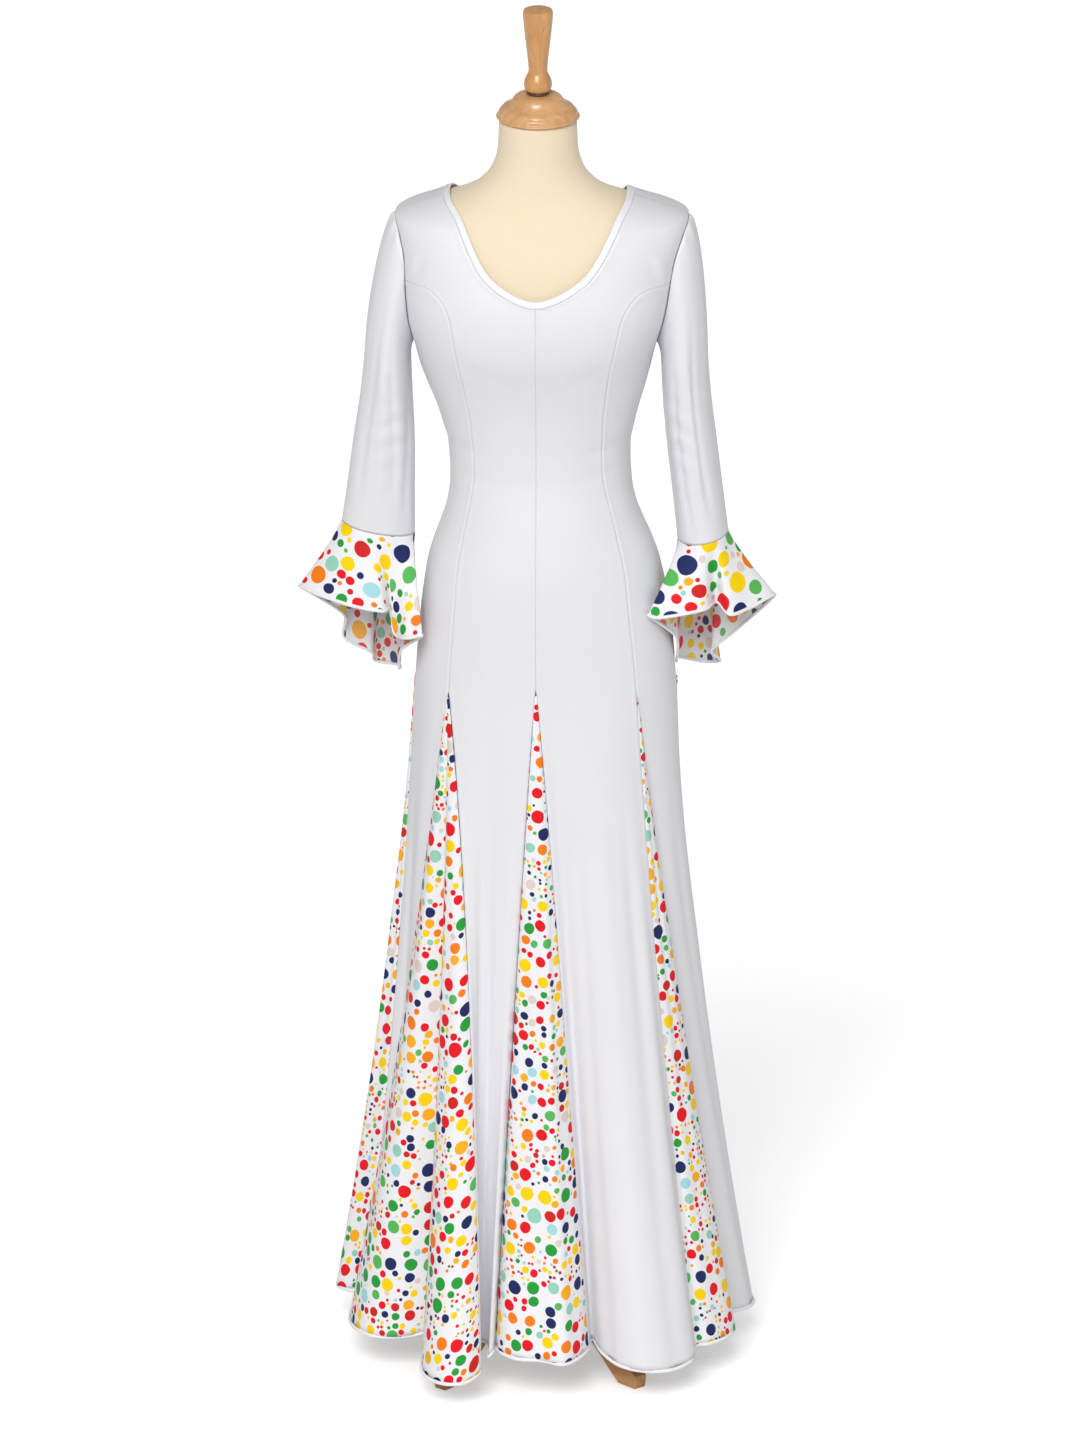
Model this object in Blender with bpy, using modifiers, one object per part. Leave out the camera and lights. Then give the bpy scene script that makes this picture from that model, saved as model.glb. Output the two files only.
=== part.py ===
"""A long flamenco dress on a limbless dress form. Metres, +Z up, the front faces -Y."""

import math

import bpy
import numpy as np

mm = 0.001

# Cloth and clearances
clothWall = 1.5 * mm
seamGap = 0.4 * mm  # clear space between two pieces at a seam
bindingWidth = 9 * mm
edgingWidth = 2 * mm

# The worn outline in level sections, mm: height, half width, front depth, back depth, squareness
bodySections = (
    (700, 168, 114, 130, 2.1),
    (800, 166, 112, 127, 2.1),
    (905, 160, 108, 122, 2.2),
    (950, 156, 109, 124, 2.2),
    (990, 151, 110, 121, 2.2),
    (1035, 143, 109, 113, 2.2),
    (1062, 135, 106.5, 107, 2.2),
    (1088, 125, 102.5, 100, 2.15),
    (1114, 116, 97.5, 93, 2.15),
    (1140, 111.5, 91.5, 87, 2.15),
    (1166, 110.7, 88, 84, 2.15),
    (1195, 112, 89, 85, 2.2),
    (1220, 118, 92, 88, 2.2),
    (1245, 125, 96, 91, 2.25),
    (1270, 133.5, 102, 95, 2.3),
    (1297, 141.5, 110, 99, 2.4),
    (1320, 147, 118, 102, 2.5),
    (1340, 153, 122.5, 104.5, 2.55),
    (1360, 159, 124, 106, 2.6),
    (1380, 163, 121.5, 107, 2.7),
    (1400, 166, 116, 107, 2.8),
    (1440, 171, 100, 103, 2.8),
    (1468, 177, 86.5, 96, 2.7),
    (1487, 180, 76, 88, 2.5),
    (1491, 176, 73.5, 86, 2.4),
    (1496, 166, 71, 83.5, 2.3),
    (1501, 152, 68.5, 80.5, 2.2),
    (1506.5, 136, 66, 77.5, 2.1),
    (1512, 119, 63.5, 73.5, 2.05),
    (1517, 102, 61.5, 70, 2),
    (1522, 90.5, 60, 67, 2),
    (1527.5, 80.5, 58.5, 64, 2),
    (1533, 74.5, 57.5, 61.5, 2),
    (1543, 64.5, 56, 58, 2),
    (1559, 57, 54, 55, 2),
    (1575, 53.7, 53, 53, 2),
    (1615, 52, 52, 52, 2),
)

# How much fuller than the left the right side hangs, mm: height, half the difference
fullerRight = ((905, 10), (957, 9.5), (1055, 7), (1166, 3), (1250, 0), (1320, -3), (1400, 0), (1487, 5), (1517, 0))

# Seams run down the body, mm: height, distance from the centre
frontPrincess = (
    (880, 117), (966, 110), (1024, 105.5), (1076, 98.5), (1133, 85), (1171, 79.5),
    (1220, 80), (1271, 85.5), (1334, 96.5), (1372, 103.3), (1388, 107.5),
)
backPrincess = (
    (880, 116), (966, 110), (1024, 104), (1076, 96), (1133, 84), (1171, 79),
    (1220, 81), (1271, 87), (1334, 99), (1372, 106), (1386, 110),
)
# The side seam, mm and degrees: height, angle from the centre front
sideSeam = ((880, 90), (1100, 90), (1180, 85), (1220, 77), (1255, 72), (1290, 76), (1322, 87))
# Where each princess seam turns into the armhole, mm: distance from the centre, height
frontTurn = ((137, 1417), (118.7, 1406), (107.5, 1388))
backTurn = ((140, 1412), (121, 1403), (110, 1386))

# The armhole seen from the side, mm
armholeMiddle = 1404.5
armholeHalfHeight = 82.5
armholeFront = 47
armholeBack = 50
armholeTurn = 83  # degrees round from the shoulder to the princess seam

# The neck opening, mm: distance from the centre, height
frontNeck = ((109, 1515), (104, 1510), (95, 1500), (84, 1479), (74, 1460), (57, 1437), (32, 1420), (11, 1411.5), (0, 1410))
backNeck = ((109, 1515), (107, 1510), (103, 1500), (94, 1487), (78, 1473), (55, 1463), (30, 1458), (10, 1456), (0, 1456))

# Rows of the body below the turn, mm: centre, princess and side seam heights
bodyRows = (
    (1385, 1366, 1283),
    (1345, 1335, 1270),
    (1300, 1295, 1252),
    (1250, 1248, 1228),
    (1206, 1206, 1200),
    (1166, 1166, 1166),
    (1112, 1112, 1112),
    (1055, 1055, 1055),
    (985, 985, 985),
)
sideTop = (1322, 1313, 1304, 1294)  # the side seam beside the turn
apexHeights = (904.5, 891, 893, 891, 900)  # front, front princess, side, back princess and back

# Skirt: the share of the drop at each row, and how the flare and the spread grow with it
skirtRows = (0.09, 0.22, 0.37, 0.53, 0.69, 0.85, 1.0)
flareEarly = 0.65
spreadPower = 0.85

# Every piece round the hem from the front godet towards +X. Each has hem points from its
# first seam: degrees from the centre front, radius and height in mm. Its last point is the
# next piece's first.
hem = (
    ("front_godet", (-19, 150, 58), (-14.5, 172, 58), (-6.5, 186, 56), (2.5, 192, 57), (10.5, 203, 55), (17.5, 187, 56)),
    ("front_right_gore", (24, 164, 57), (29.5, 142, 60), (28.5, 172, 53), (30.5, 204, 46), (35.5, 231, 43), (43.5, 246, 41), (52, 246, 44)),
    ("front_right_godet", (60, 228, 48), (64, 238, 48), (70, 249, 49), (77.5, 250, 48), (84.5, 240, 49)),
    ("side_front_right_gore", (89.5, 230, 51), (92.5, 246, 49), (97, 264, 47), (103.5, 272, 46), (110, 258, 48)),
    ("side_right_godet", (114, 226, 52), (118, 244, 50), (124, 254, 49), (129, 240, 50)),
    ("side_back_right_gore", (132, 213, 52), (135.5, 191, 55), (139.5, 183, 57), (143, 194, 55)),
    ("back_right_godet", (146, 216, 53), (149, 228, 51), (154, 238, 50), (159, 230, 51)),
    ("back_right_gore", (161.5, 208, 53), (164, 190, 55), (168, 180, 57), (171.5, 196, 55)),
    ("back_godet", (173.5, 208, 53), (176, 222, 51), (181, 230, 50), (186.5, 225, 51)),
    ("back_left_gore", (190, 210, 53), (193, 194, 55), (197.5, 180, 57), (202, 190, 55)),
    ("back_left_godet", (204.5, 208, 53), (208, 228, 51), (213.5, 238, 50), (219, 230, 51)),
    ("side_back_left_gore", (222.5, 214, 53), (226, 188, 55), (230, 178, 57), (234, 196, 55)),
    ("side_left_godet", (236.5, 222, 52), (240, 244, 50), (245, 264, 47), (249.5, 268, 46), (253, 250, 48)),
    ("side_front_left_gore", (255.5, 222, 52), (258, 194, 56), (261.5, 182, 58), (265, 198, 56)),
    (
        "front_left_godet",
        (266.5, 224, 52), (275.5, 234, 48), (284.5, 232, 47), (293.5, 217, 47), (300.5, 184, 50),
        (307.5, 150, 58), (312, 168, 52), (317, 204, 42), (324, 232, 36), (332, 242, 34), (338.5, 234, 36),
    ),
    ("front_left_gore", (341.5, 208, 42), (338, 184, 48), (333.5, 160, 54), (333, 143, 58), (337, 150, 56), (340, 170, 50), (342, 165, 54)),
)

# Sleeves, mm: height, middle, half width, half depth
sleeveSections = {
    "right": ((1060, 204, 32, 43), (1114, 198, 31.4, 46), (1192, 189, 31, 52), (1250, 183, 30, 57), (1297, 180, 29, 60)),
    "left": ((1060, 198, 47, 32), (1114, 194, 43, 38), (1192, 189, 38, 48), (1250, 186, 32.5, 55), (1297, 184.5, 29, 60)),
}
cuffHeights = {"right": (1077, 1068), "left": (1087, 1071)}  # outer side and inner side
sleeveRows = (0.0, 0.12, 0.3, 0.55, 0.8, 1.0)  # of the cap, then of the arm below it
armRows = (0.25, 0.5, 0.75, 1.0)
capReach = 48 * mm  # how strongly the cap leaves the armhole

# Flounce hems, mm: name, degrees round from the outer side through the front, distance from
# the centre, towards the front, height
flounceHems = {
    "left": (
        ("outer tip", 0, 292, 2, 1000),
        ("outer lobe", 28, 272, 36, 1003),
        ("front lobe", 58, 228, 62, 997),
        ("front lobe", 80, 190, 68, 992),
        ("front valley", 100, 181, 40, 985),
        ("inner valley", 120, 176, 44, 955),
        ("inner lobe", 142, 160, 70, 958),
        ("inner lobe", 162, 140, 72, 962),
        ("inner valley", 185, 166, 36, 930),
        ("under lobe", 208, 170, 2, 895),
        ("under lobe", 232, 172, -38, 884),
        ("back lobe", 255, 202, -56, 883),
        ("back valley", 280, 207, -26, 905),
        ("back lobe", 305, 240, -38, 920),
        ("outer valley", 333, 240, -10, 960),
    ),
    "right": (
        ("outer tip", 0, 291, 4, 995),
        ("outer lobe", 25, 262, 42, 992),
        ("outer lobe", 46, 237, 60, 989),
        ("front valley", 66, 220, 36, 996),
        ("front lobe", 88, 208, 66, 998),
        ("front lobe", 112, 181, 77, 995),
        ("inner lobe", 138, 150, 80, 991),
        ("inner tip", 158, 138, 68, 989),
        ("inner valley", 182, 170, 34, 950),
        ("under lobe", 208, 170, -6, 905),
        ("under lobe", 234, 172, -42, 896),
        ("back lobe", 258, 200, -58, 885),
        ("back lobe", 282, 223, -42, 892),
        ("back valley", 305, 214, -16, 915),
        ("outer valley", 332, 244, -22, 940),
    ),
}
flounceRows = (0.0, 0.3, 0.62, 1.0)

# The form and its stand
formBottom = 880
# From the form's skin out to the cloth's outer face, mm: height, ease
formEase = ((880, 8.5), (1360, 8), (1430, 7), (1470, 5.2), (1500, 5), (1560, 4.5), (1615, 4.5))
formTop = 1611.5
torsoRows = (
    *range(formBottom, 1400, 40), 1410, 1440, 1462, 1480, 1492, 1500, 1508, 1516, 1525, 1540, 1570, formTop,
)
torsoColumns = 40
capProfile = (
    (0, 1642), (14, 1641.5), (24, 1640.5), (29, 1638), (32.5, 1633), (37, 1628.5), (43, 1625.5),
    (46, 1622), (48.3, 1619.5), (48.6, 1616), (47.6, 1612), (0, 1612),
)
ringProfile = ((0, 1645.6), (12.5, 1645.6), (14.3, 1644.8), (14.3, 1643.2), (12.5, 1642.4), (0, 1642.4))
handleProfile = (
    (0, 1750.5), (15.5, 1750.5), (18, 1749), (18.6, 1745), (18.2, 1738), (16, 1716), (13, 1690),
    (11.8, 1676), (12, 1670), (14.6, 1664.5), (17, 1658), (17, 1651.5), (13.6, 1646), (0, 1646),
)
poleRadius = 12.5 * mm
hubProfile = ((0, 142), (20, 142), (25, 136), (22, 128), (31, 118), (31, 62), (24, 52), (0, 52))
legAngles = {"front_right": 43.5, "front_left": -38.5, "back_right": 141.5, "back_left": -136.5}
legWidth = 18 * mm
# A leg from the hub out to its foot, mm: distance from the pole, height
legProfile = (
    (31.5, 108), (70, 98), (112, 70), (150, 38), (186, 19.5), (190, 15), (188, 0), (156, 0),
    (146, 9), (108, 40), (68, 66), (31.5, 74),
)

white = (0.93, 0.93, 0.955)
dotted = (0.94, 0.86, 0.78)
jersey = (0.93, 0.83, 0.64)
beech = (0.80, 0.52, 0.27)
darkWood = (0.22, 0.12, 0.06)


def smoothTable(rows):
    """A function that reads a table's other columns at any value of its first, with no overshoot."""
    table = np.array(rows, float)
    stops, values = table[:, 0], table[:, 1:]
    step = np.diff(stops)[:, None]
    slope = np.diff(values, axis=0) / step
    both = slope[:-1] * slope[1:]
    total = np.where(both > 0, slope[:-1] + slope[1:], 1)
    inner = np.where(both > 0, 2 * both / total, 0)
    tangent = np.vstack([slope[:1], inner, slope[-1:]])

    def read(at):
        at = np.clip(np.asarray(at, float), stops[0], stops[-1])
        i = np.clip(np.searchsorted(stops, at, side="right") - 1, 0, len(step) - 1)
        t = ((at - stops[i]) / step[i, 0])[..., None]
        a, b = values[i], values[i + 1]
        ta, tb = tangent[i] * step[i], tangent[i + 1] * step[i]
        return (
            a * (2 * t**3 - 3 * t**2 + 1)
            + ta * (t**3 - 2 * t**2 + t)
            + b * (3 * t**2 - 2 * t**3)
            + tb * (t**3 - t**2)
        )

    return read


bodyTable = smoothTable(bodySections)
princessTables = {"front": smoothTable(frontPrincess), "back": smoothTable(backPrincess)}
sideTable = smoothTable(sideSeam)
fullerTable = smoothTable(fullerRight)


def bodyPoint(angle, height, worn=1.0):
    """A point of the worn outline. Angle in degrees from the centre front, height in mm. With
    worn 0 it is the even outline that fits inside, which the form has."""
    halfWidth, front, back, square = np.moveaxis(bodyTable(height), -1, 0)
    s, c = np.sin(np.radians(angle)), np.cos(np.radians(angle))
    fuller = fullerTable(height)[..., 0]
    halfWidth = halfWidth + worn * np.sign(s) * fuller - (1 - worn) * np.abs(fuller)
    reach = (np.abs(s) ** square + np.abs(c) ** square) ** (-1 / square)
    depth = np.where(c > 0, front, back)
    return np.stack([halfWidth * reach * s, -depth * reach * c, height + 0 * s], -1) * mm


def bodyNormal(angle, height):
    """The unit normal of the worn outline, pointing out."""
    angle, height = np.asarray(angle, float), np.asarray(height, float)
    across = bodyPoint(angle + 0.2, height) - bodyPoint(angle - 0.2, height)
    up = bodyPoint(angle, height + 0.3) - bodyPoint(angle, height - 0.3)
    normal = np.cross(across, up)
    return normal / np.linalg.norm(normal, axis=-1, keepdims=True)


def angleAcross(distance, height, half):
    """The angle where the outline at this height lies this far from the centre, in mm."""
    halfWidth, front, back, square = bodyTable(height)
    share = min(distance / halfWidth, 0.9999) ** square
    angle = math.degrees(math.atan((share / (1 - share)) ** (1 / square)))
    return angle if half == "front" else 180 - angle


def armholePoint(turn):
    """Angle and height on the right armhole, turn degrees from the shoulder through the front."""
    height = armholeMiddle + armholeHalfHeight * math.cos(math.radians(turn))
    halfWidth, front, back, square = bodyTable(height)
    depth = math.sin(math.radians(turn))
    depth *= armholeFront / front if depth > 0 else armholeBack / back
    share = min(abs(depth), 0.9999) ** square
    past = math.degrees(math.atan((share / (1 - share)) ** (1 / square)))
    return (90 - past if depth > 0 else 90 + past), height


def splineThrough(points, steps, closed=False):
    """Points on a smooth curve through the given ones, steps to each stretch."""
    points = np.array(points, float)
    if closed:
        padded = np.vstack([points[-1:], points, points[:2]])
    else:
        padded = np.vstack([2 * points[0] - points[1], points, 2 * points[-1] - points[-2]])
    curve = []
    for a, b, c, d in zip(padded, padded[1:], padded[2:], padded[3:]):
        for t in np.arange(steps) / steps:
            curve.append(
                b + 0.5 * t * (c - a + t * (2 * a - 5 * b + 4 * c - d + t * (3 * (b - c) + d - a)))
            )
    if not closed:
        curve.append(points[-1])
    return np.array(curve)


def spaced(curve, shares):
    """Points at the given shares of a curve's length."""
    run = np.concatenate([[0], np.cumsum(np.linalg.norm(np.diff(curve, axis=0), axis=1))])
    at = np.array(shares) * run[-1]
    return np.stack([np.interp(at, run, column) for column in curve.T], -1)


def onBody(points):
    """Angle and height of the place on the outline nearest to each point."""
    height = points[:, 2] / mm
    halfWidth, front, back, _ = np.moveaxis(bodyTable(height), -1, 0)
    depth = np.where(points[:, 1] < 0, front, back)
    angle = np.degrees(np.arctan2(points[:, 0] / halfWidth, -points[:, 1] / depth))
    for _ in range(8):
        across = (bodyPoint(angle + 0.1, height) - bodyPoint(angle - 0.1, height)) / 0.2
        up = (bodyPoint(angle, height + 0.2) - bodyPoint(angle, height - 0.2)) / 0.4
        off = points - bodyPoint(angle, height)
        lean = (across * up).sum(-1)
        wide, tall = (across**2).sum(-1), (up**2).sum(-1)
        moveAcross, moveUp = (off * across).sum(-1), (off * up).sum(-1)
        scale = 0.8 / (wide * tall - lean**2)
        angle = angle + np.clip((moveAcross * tall - moveUp * lean) * scale, -4, 4)
        height = height + np.clip((moveUp * wide - moveAcross * lean) * scale, -4, 4)
    return np.stack([angle, height], -1)


neckRowShares = (0, 0.13, 0.27, 0.42, 0.57, 0.72, 0.86, 1)


def neckLine(half, width):
    """Angle and height along the right half of the neck, width in from the opening's edge."""
    outline = splineThrough({"front": frontNeck, "back": backNeck}[half], 40)
    edge = np.array([(angleAcross(x, z, half), z) for x, z in outline])
    edge[0, 0] = 90
    edge[-1, 0] = 0 if half == "front" else 180
    points = spaced(bodyPoint(edge[:, 0], edge[:, 1]), neckRowShares)
    if width:
        along = np.gradient(points, axis=0)
        places = onBody(points)
        out = bodyNormal(places[:, 0], places[:, 1])
        aside = np.cross(along, out) * (-1 if half == "front" else 1)
        aside[0] = (1, 0, -0.3)
        aside[-1, 0] = 0
        points = points + width * aside / np.linalg.norm(aside, axis=1)[:, None]
    places = onBody(points)
    places[0, 0] = 90
    places[-1, 0] = edge[-1, 0]
    return places


def seamLine(which):
    """Angle and height of a right-hand seam at every row down to its godet."""
    half = "back" if which in ("back", "backPrincess") else "front"
    turns = np.linspace(0, armholeTurn, 5)
    if which in ("front", "back"):
        top = neckLine(half, bindingWidth)
        column, angle = 0, (0 if which == "front" else 180)
        below = [(angle, row[column]) for row in bodyRows]
        apex = apexHeights[0] if which == "front" else apexHeights[4]
        return np.array([*top, *below, (angle, apex)])
    if which == "side":
        heights = [*sideTop, *(row[2] for row in bodyRows), apexHeights[2]]
        return np.array([(sideTable(z)[0], z) for z in heights])
    if half == "back":
        turns = 360 - turns
    arm = [armholePoint(turn) for turn in turns]
    bend = [(angleAcross(x, z, half), z) for x, z in (frontTurn if half == "front" else backTurn)]
    heights = [*(row[1] for row in bodyRows), apexHeights[1 if half == "front" else 3]]
    table = princessTables[half]
    below = [(angleAcross(table(z)[0], z, half), z) for z in heights]
    return np.array([*arm, *bend, *below])


seams = {name: seamLine(name) for name in ("front", "frontPrincess", "side", "backPrincess", "back")}
turnRow = 4  # the row where the princess seam leaves the armhole

goreSeams = {
    "front": ("front", "frontPrincess"),
    "side_front": ("frontPrincess", "side"),
    "side_back": ("side", "backPrincess"),
    "back": ("backPrincess", "back"),
}


def hemLoop():
    """Each piece's hem points, its share of the hem at each, all joined in one loop."""
    pieces = {}
    names = [row[0] for row in hem]
    for i, row in enumerate(hem):
        rows = [*row[1:], hem[(i + 1) % len(hem)][1]]
        rows = np.array(rows, float)
        angle = np.radians(rows[:, 0])
        points = np.stack([rows[:, 1] * np.sin(angle), -rows[:, 1] * np.cos(angle), rows[:, 2]], -1) * mm
        run = np.concatenate([[0], np.cumsum(np.linalg.norm(np.diff(points, axis=0), axis=1))])
        pieces[names[i]] = points, run / run[-1]
    return pieces


hemPieces = hemLoop()


def flared(top, low, share):
    """From the body out to the hem: the flare starts slowly, and the cloth spreads sideways early."""
    change = low - top
    level = (top + low)[..., :2]
    level = level / np.linalg.norm(level, axis=-1, keepdims=True)
    radial = np.zeros_like(change)
    radial[..., :2] = (change[..., :2] * level).sum(-1, keepdims=True) * level
    sideways = change - radial
    sideways[..., 2] = 0
    fall = np.zeros_like(change)
    fall[..., 2] = change[..., 2]
    grow = flareEarly * share + (1 - flareEarly) * share**2
    return top + radial * grow + sideways * share**spreadPower + fall * share


def easeFromArmhole(rows, shares):
    """Spreads the first rows evenly between the armhole and the fifth row, true to both seams."""
    share = np.abs(shares - shares[0])[:, None]
    for k in range(1, turnRow):
        even = rows[0] + (rows[turnRow] - rows[0]) * k / turnRow
        atFirst, atLast = rows[k, 0] - even[0], rows[k, -1] - even[-1]
        rows[k] = even + (1 - share) * atFirst + share * atLast


def goreGrid(name):
    """Outer points of a gore, by row from the top and by column towards +X round the front."""
    kind, side = name.rsplit("_", 2)[:2]
    low, shares = hemPieces[name]
    a, b = (seams[seam] for seam in goreSeams[kind])
    if kind == "side_front":
        a = a[turnRow:]
    if kind == "side_back":
        b = b[turnRow:]
    if side == "left":
        shares = 1 - shares
    rows = a[:, None] + (b - a)[:, None] * shares[None, :, None]
    if kind in ("side_front", "side_back"):
        ends = (armholeTurn, 180) if kind == "side_front" else (180, 360 - armholeTurn)
        rows[0] = [armholePoint(ends[0] + (ends[1] - ends[0]) * t) for t in shares]
        easeFromArmhole(rows, shares)
    if side == "left":
        rows[..., 0] *= -1
    body = bodyPoint(rows[..., 0], rows[..., 1])
    return np.concatenate([body, [flared(body[-1], low, share) for share in skirtRows]])


# The seam each godet opens, and the side it is on
godetSeams = {
    "front_godet": ("front", 1), "back_godet": ("back", 1),
    "front_right_godet": ("frontPrincess", 1), "front_left_godet": ("frontPrincess", -1),
    "side_right_godet": ("side", 1), "side_left_godet": ("side", -1),
    "back_right_godet": ("backPrincess", 1), "back_left_godet": ("backPrincess", -1),
}
godetTop = 0.03  # its first row, as a share of the drop


def godetGrid(name):
    low, _ = hemPieces[name]
    seam, side = godetSeams[name]
    angle, height = seams[seam][-1]
    top = bodyPoint(angle * side, height)[None]
    rows = [flared(top, low, share) for share in skirtRows]
    return np.array([top + (rows[0] - top) * godetTop / skirtRows[0], *rows])


def unit(vectors):
    return vectors / np.maximum(np.linalg.norm(vectors, axis=-1, keepdims=True), 1e-9)


def gridNormals(grid, closed=False):
    """Normals of a grid of points whose rows run down and whose columns run towards +X."""
    across = np.gradient(grid, axis=1)
    if closed:
        across = np.roll(grid, -1, 1) - np.roll(grid, 1, 1)
    return unit(np.cross(np.gradient(grid, axis=0), across))


def dressGrids():
    """Outer points and normals of every gore and godet. The skirt's normals come from one
    closed ring of all the pieces, so two pieces agree at their seam."""
    names = [row[0] for row in hem]
    grids = {name: goreGrid(name) if name.endswith("gore") else godetGrid(name) for name in names}
    count = len(skirtRows)
    ring = np.concatenate([grids[name][-count - 1 :, :-1] for name in names], 1)
    ringNormals = gridNormals(ring, True)
    normals, start = {}, 0
    for name in names:
        grid = grids[name]
        columns = np.arange(start, start + grid.shape[1]) % ring.shape[1]
        start += grid.shape[1] - 1
        skirt = ringNormals[1:, columns]
        if name.endswith("gore"):
            places = onBody(grid[:-count].reshape(-1, 3))
            body = bodyNormal(places[:, 0], places[:, 1]).reshape(grid[:-count].shape)
        else:
            angle, height = seams[godetSeams[name][0]][-1]
            top = bodyNormal(angle * godetSeams[name][1], height)
            body = unit(top + (skirt[:1] - top) * godetTop / skirtRows[0])
        normals[name] = np.concatenate([body, skirt])
    return grids, normals


def drawnIn(grid, normals, sides, by):
    """The grid with the named sides moved in along the cloth, square to their own edge."""
    grid, normals = grid.copy(), normals
    for side in sides:
        level = side in ("top", "bottom")
        edge, out = (grid, normals) if level else (grid.swapaxes(0, 1), normals.swapaxes(0, 1))
        at = 0 if side in ("top", "first") else -1
        along = np.gradient(edge[at], axis=0)
        inwards = unit(np.cross(along, out[at])) * (1 if side in ("top", "last") else -1)
        edge[at] += by * inwards
    return grid


def material(name, colour, roughness, metallic=0.0):
    found = bpy.data.materials.new(name)
    found.use_nodes = True
    shader = found.node_tree.nodes["Principled BSDF"]
    shader.inputs["Base Color"].default_value = (*colour, 1)
    shader.inputs["Roughness"].default_value = roughness
    shader.inputs["Metallic"].default_value = metallic
    return found


def makeCollection(name):
    found = bpy.data.collections.new(name)
    bpy.context.scene.collection.children.link(found)
    return found


def addMesh(name, points, faces, look):
    mesh = bpy.data.meshes.new(name)
    mesh.from_pydata([tuple(p) for p in points], [], faces)
    mesh.update()
    mesh.shade_smooth()
    thing = bpy.data.objects.new(name, mesh)
    thing.data.materials.append(look)
    dress.objects.link(thing)
    return thing


def clothPiece(name, grid, normals, look, closed=False):
    """A wall of cloth. It goes in along the garment's own normals, so that two pieces keep
    parallel edges at their seam, where Solidify would turn each edge its own way. Both faces
    split along the same diagonal, the one that stands farther out, so that they stay apart."""
    rows, columns = grid.shape[:2]
    points = np.concatenate([grid.reshape(-1, 3), (grid - normals * clothWall).reshape(-1, 3)])
    inside = rows * columns
    faces = []

    def outer(r, c):
        return r * columns + c % columns

    spans = columns if closed else columns - 1
    for r in range(rows - 1):
        for c in range(spans):
            quad = [outer(r, c), outer(r + 1, c), outer(r + 1, c + 1), outer(r, c + 1)]
            lift = points[quad[0]] + points[quad[2]] - points[quad[1]] - points[quad[3]]
            if lift @ normals[r, c] < 0:
                quad = quad[1:] + quad[:1]
            for first, second, third in ((0, 1, 2), (0, 2, 3)):
                faces.append([quad[first], quad[second], quad[third]])
                faces.append([inside + quad[third], inside + quad[second], inside + quad[first]])
    for c in range(spans):
        a, b = outer(0, c), outer(0, c + 1)
        faces.append([a, b, inside + b, inside + a])
        a, b = outer(rows - 1, c), outer(rows - 1, c + 1)
        faces.append([b, a, inside + a, inside + b])
    if not closed:
        for r in range(rows - 1):
            a, b = outer(r, 0), outer(r + 1, 0)
            faces.append([b, a, inside + a, inside + b])
            a, b = outer(r, columns - 1), outer(r + 1, columns - 1)
            faces.append([a, b, inside + b, inside + a])
    return addMesh(name, points, faces, look)


def build(name, grid, normals, look, closed=False, sides=("top", "bottom", "first", "last")):
    return clothPiece(name, drawnIn(grid, normals, sides, seamGap / 2), normals, look, closed)


def buildSkirtAndBodice():
    grids, normals = dressGrids()
    for name, grid in grids.items():
        build(name, grid, normals[name], whiteCloth if name.endswith("gore") else dottedCloth)
    return grids, normals


def neckRing(width):
    """Angle and height right round the neck, from the centre front towards +X."""
    front, back = neckLine("front", width), neckLine("back", width)
    right = np.concatenate([front[::-1], back[1:]])
    left = right[-2:0:-1] * (-1, 1)
    return np.concatenate([right, left])


def buildBinding():
    rows = [neckRing(width) for width in (0, bindingWidth / 2, bindingWidth)]
    grid = np.array([bodyPoint(row[:, 0], row[:, 1]) for row in rows])
    normals = np.array([bodyNormal(row[:, 0], row[:, 1]) for row in rows])
    build("neck_binding", grid, normals, whiteCloth, True, ("top", "bottom"))


def sleeveTurns(side):
    """Degrees round the armhole at each column, matched to the bodice's own points."""
    front = np.linspace(0, armholeTurn, 5)
    names = (f"side_front_{side}_gore", f"side_back_{side}_gore")
    shares = [hemPieces[name][1] for name in names]
    if side == "left":
        shares = [1 - share[::-1] for share in shares]
    turns = [
        *front, *(armholeTurn + (180 - armholeTurn) * shares[0][1:]),
        *(180 + (180 - armholeTurn) * shares[1][1:]), *(360 - front[3:0:-1]),
    ]
    return np.array(turns)


def sleeveSection(side, turns, heights):
    """Points round the hanging sleeve, where 0 is its outer side and 90 its front."""
    middle, halfWidth, halfDepth = np.moveaxis(smoothTable(sleeveSections[side])(heights), -1, 0)
    s, c = np.sin(np.radians(turns)), np.cos(np.radians(turns))
    sign = 1 if side == "right" else -1
    return np.stack([sign * (middle + halfWidth * c), -halfDepth * s, heights + 0 * s], -1) * mm


def cuffHeight(side, turns):
    outer, inner = cuffHeights[side]
    return outer + (inner - outer) * (1 - np.cos(np.radians(turns))) / 2


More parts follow.
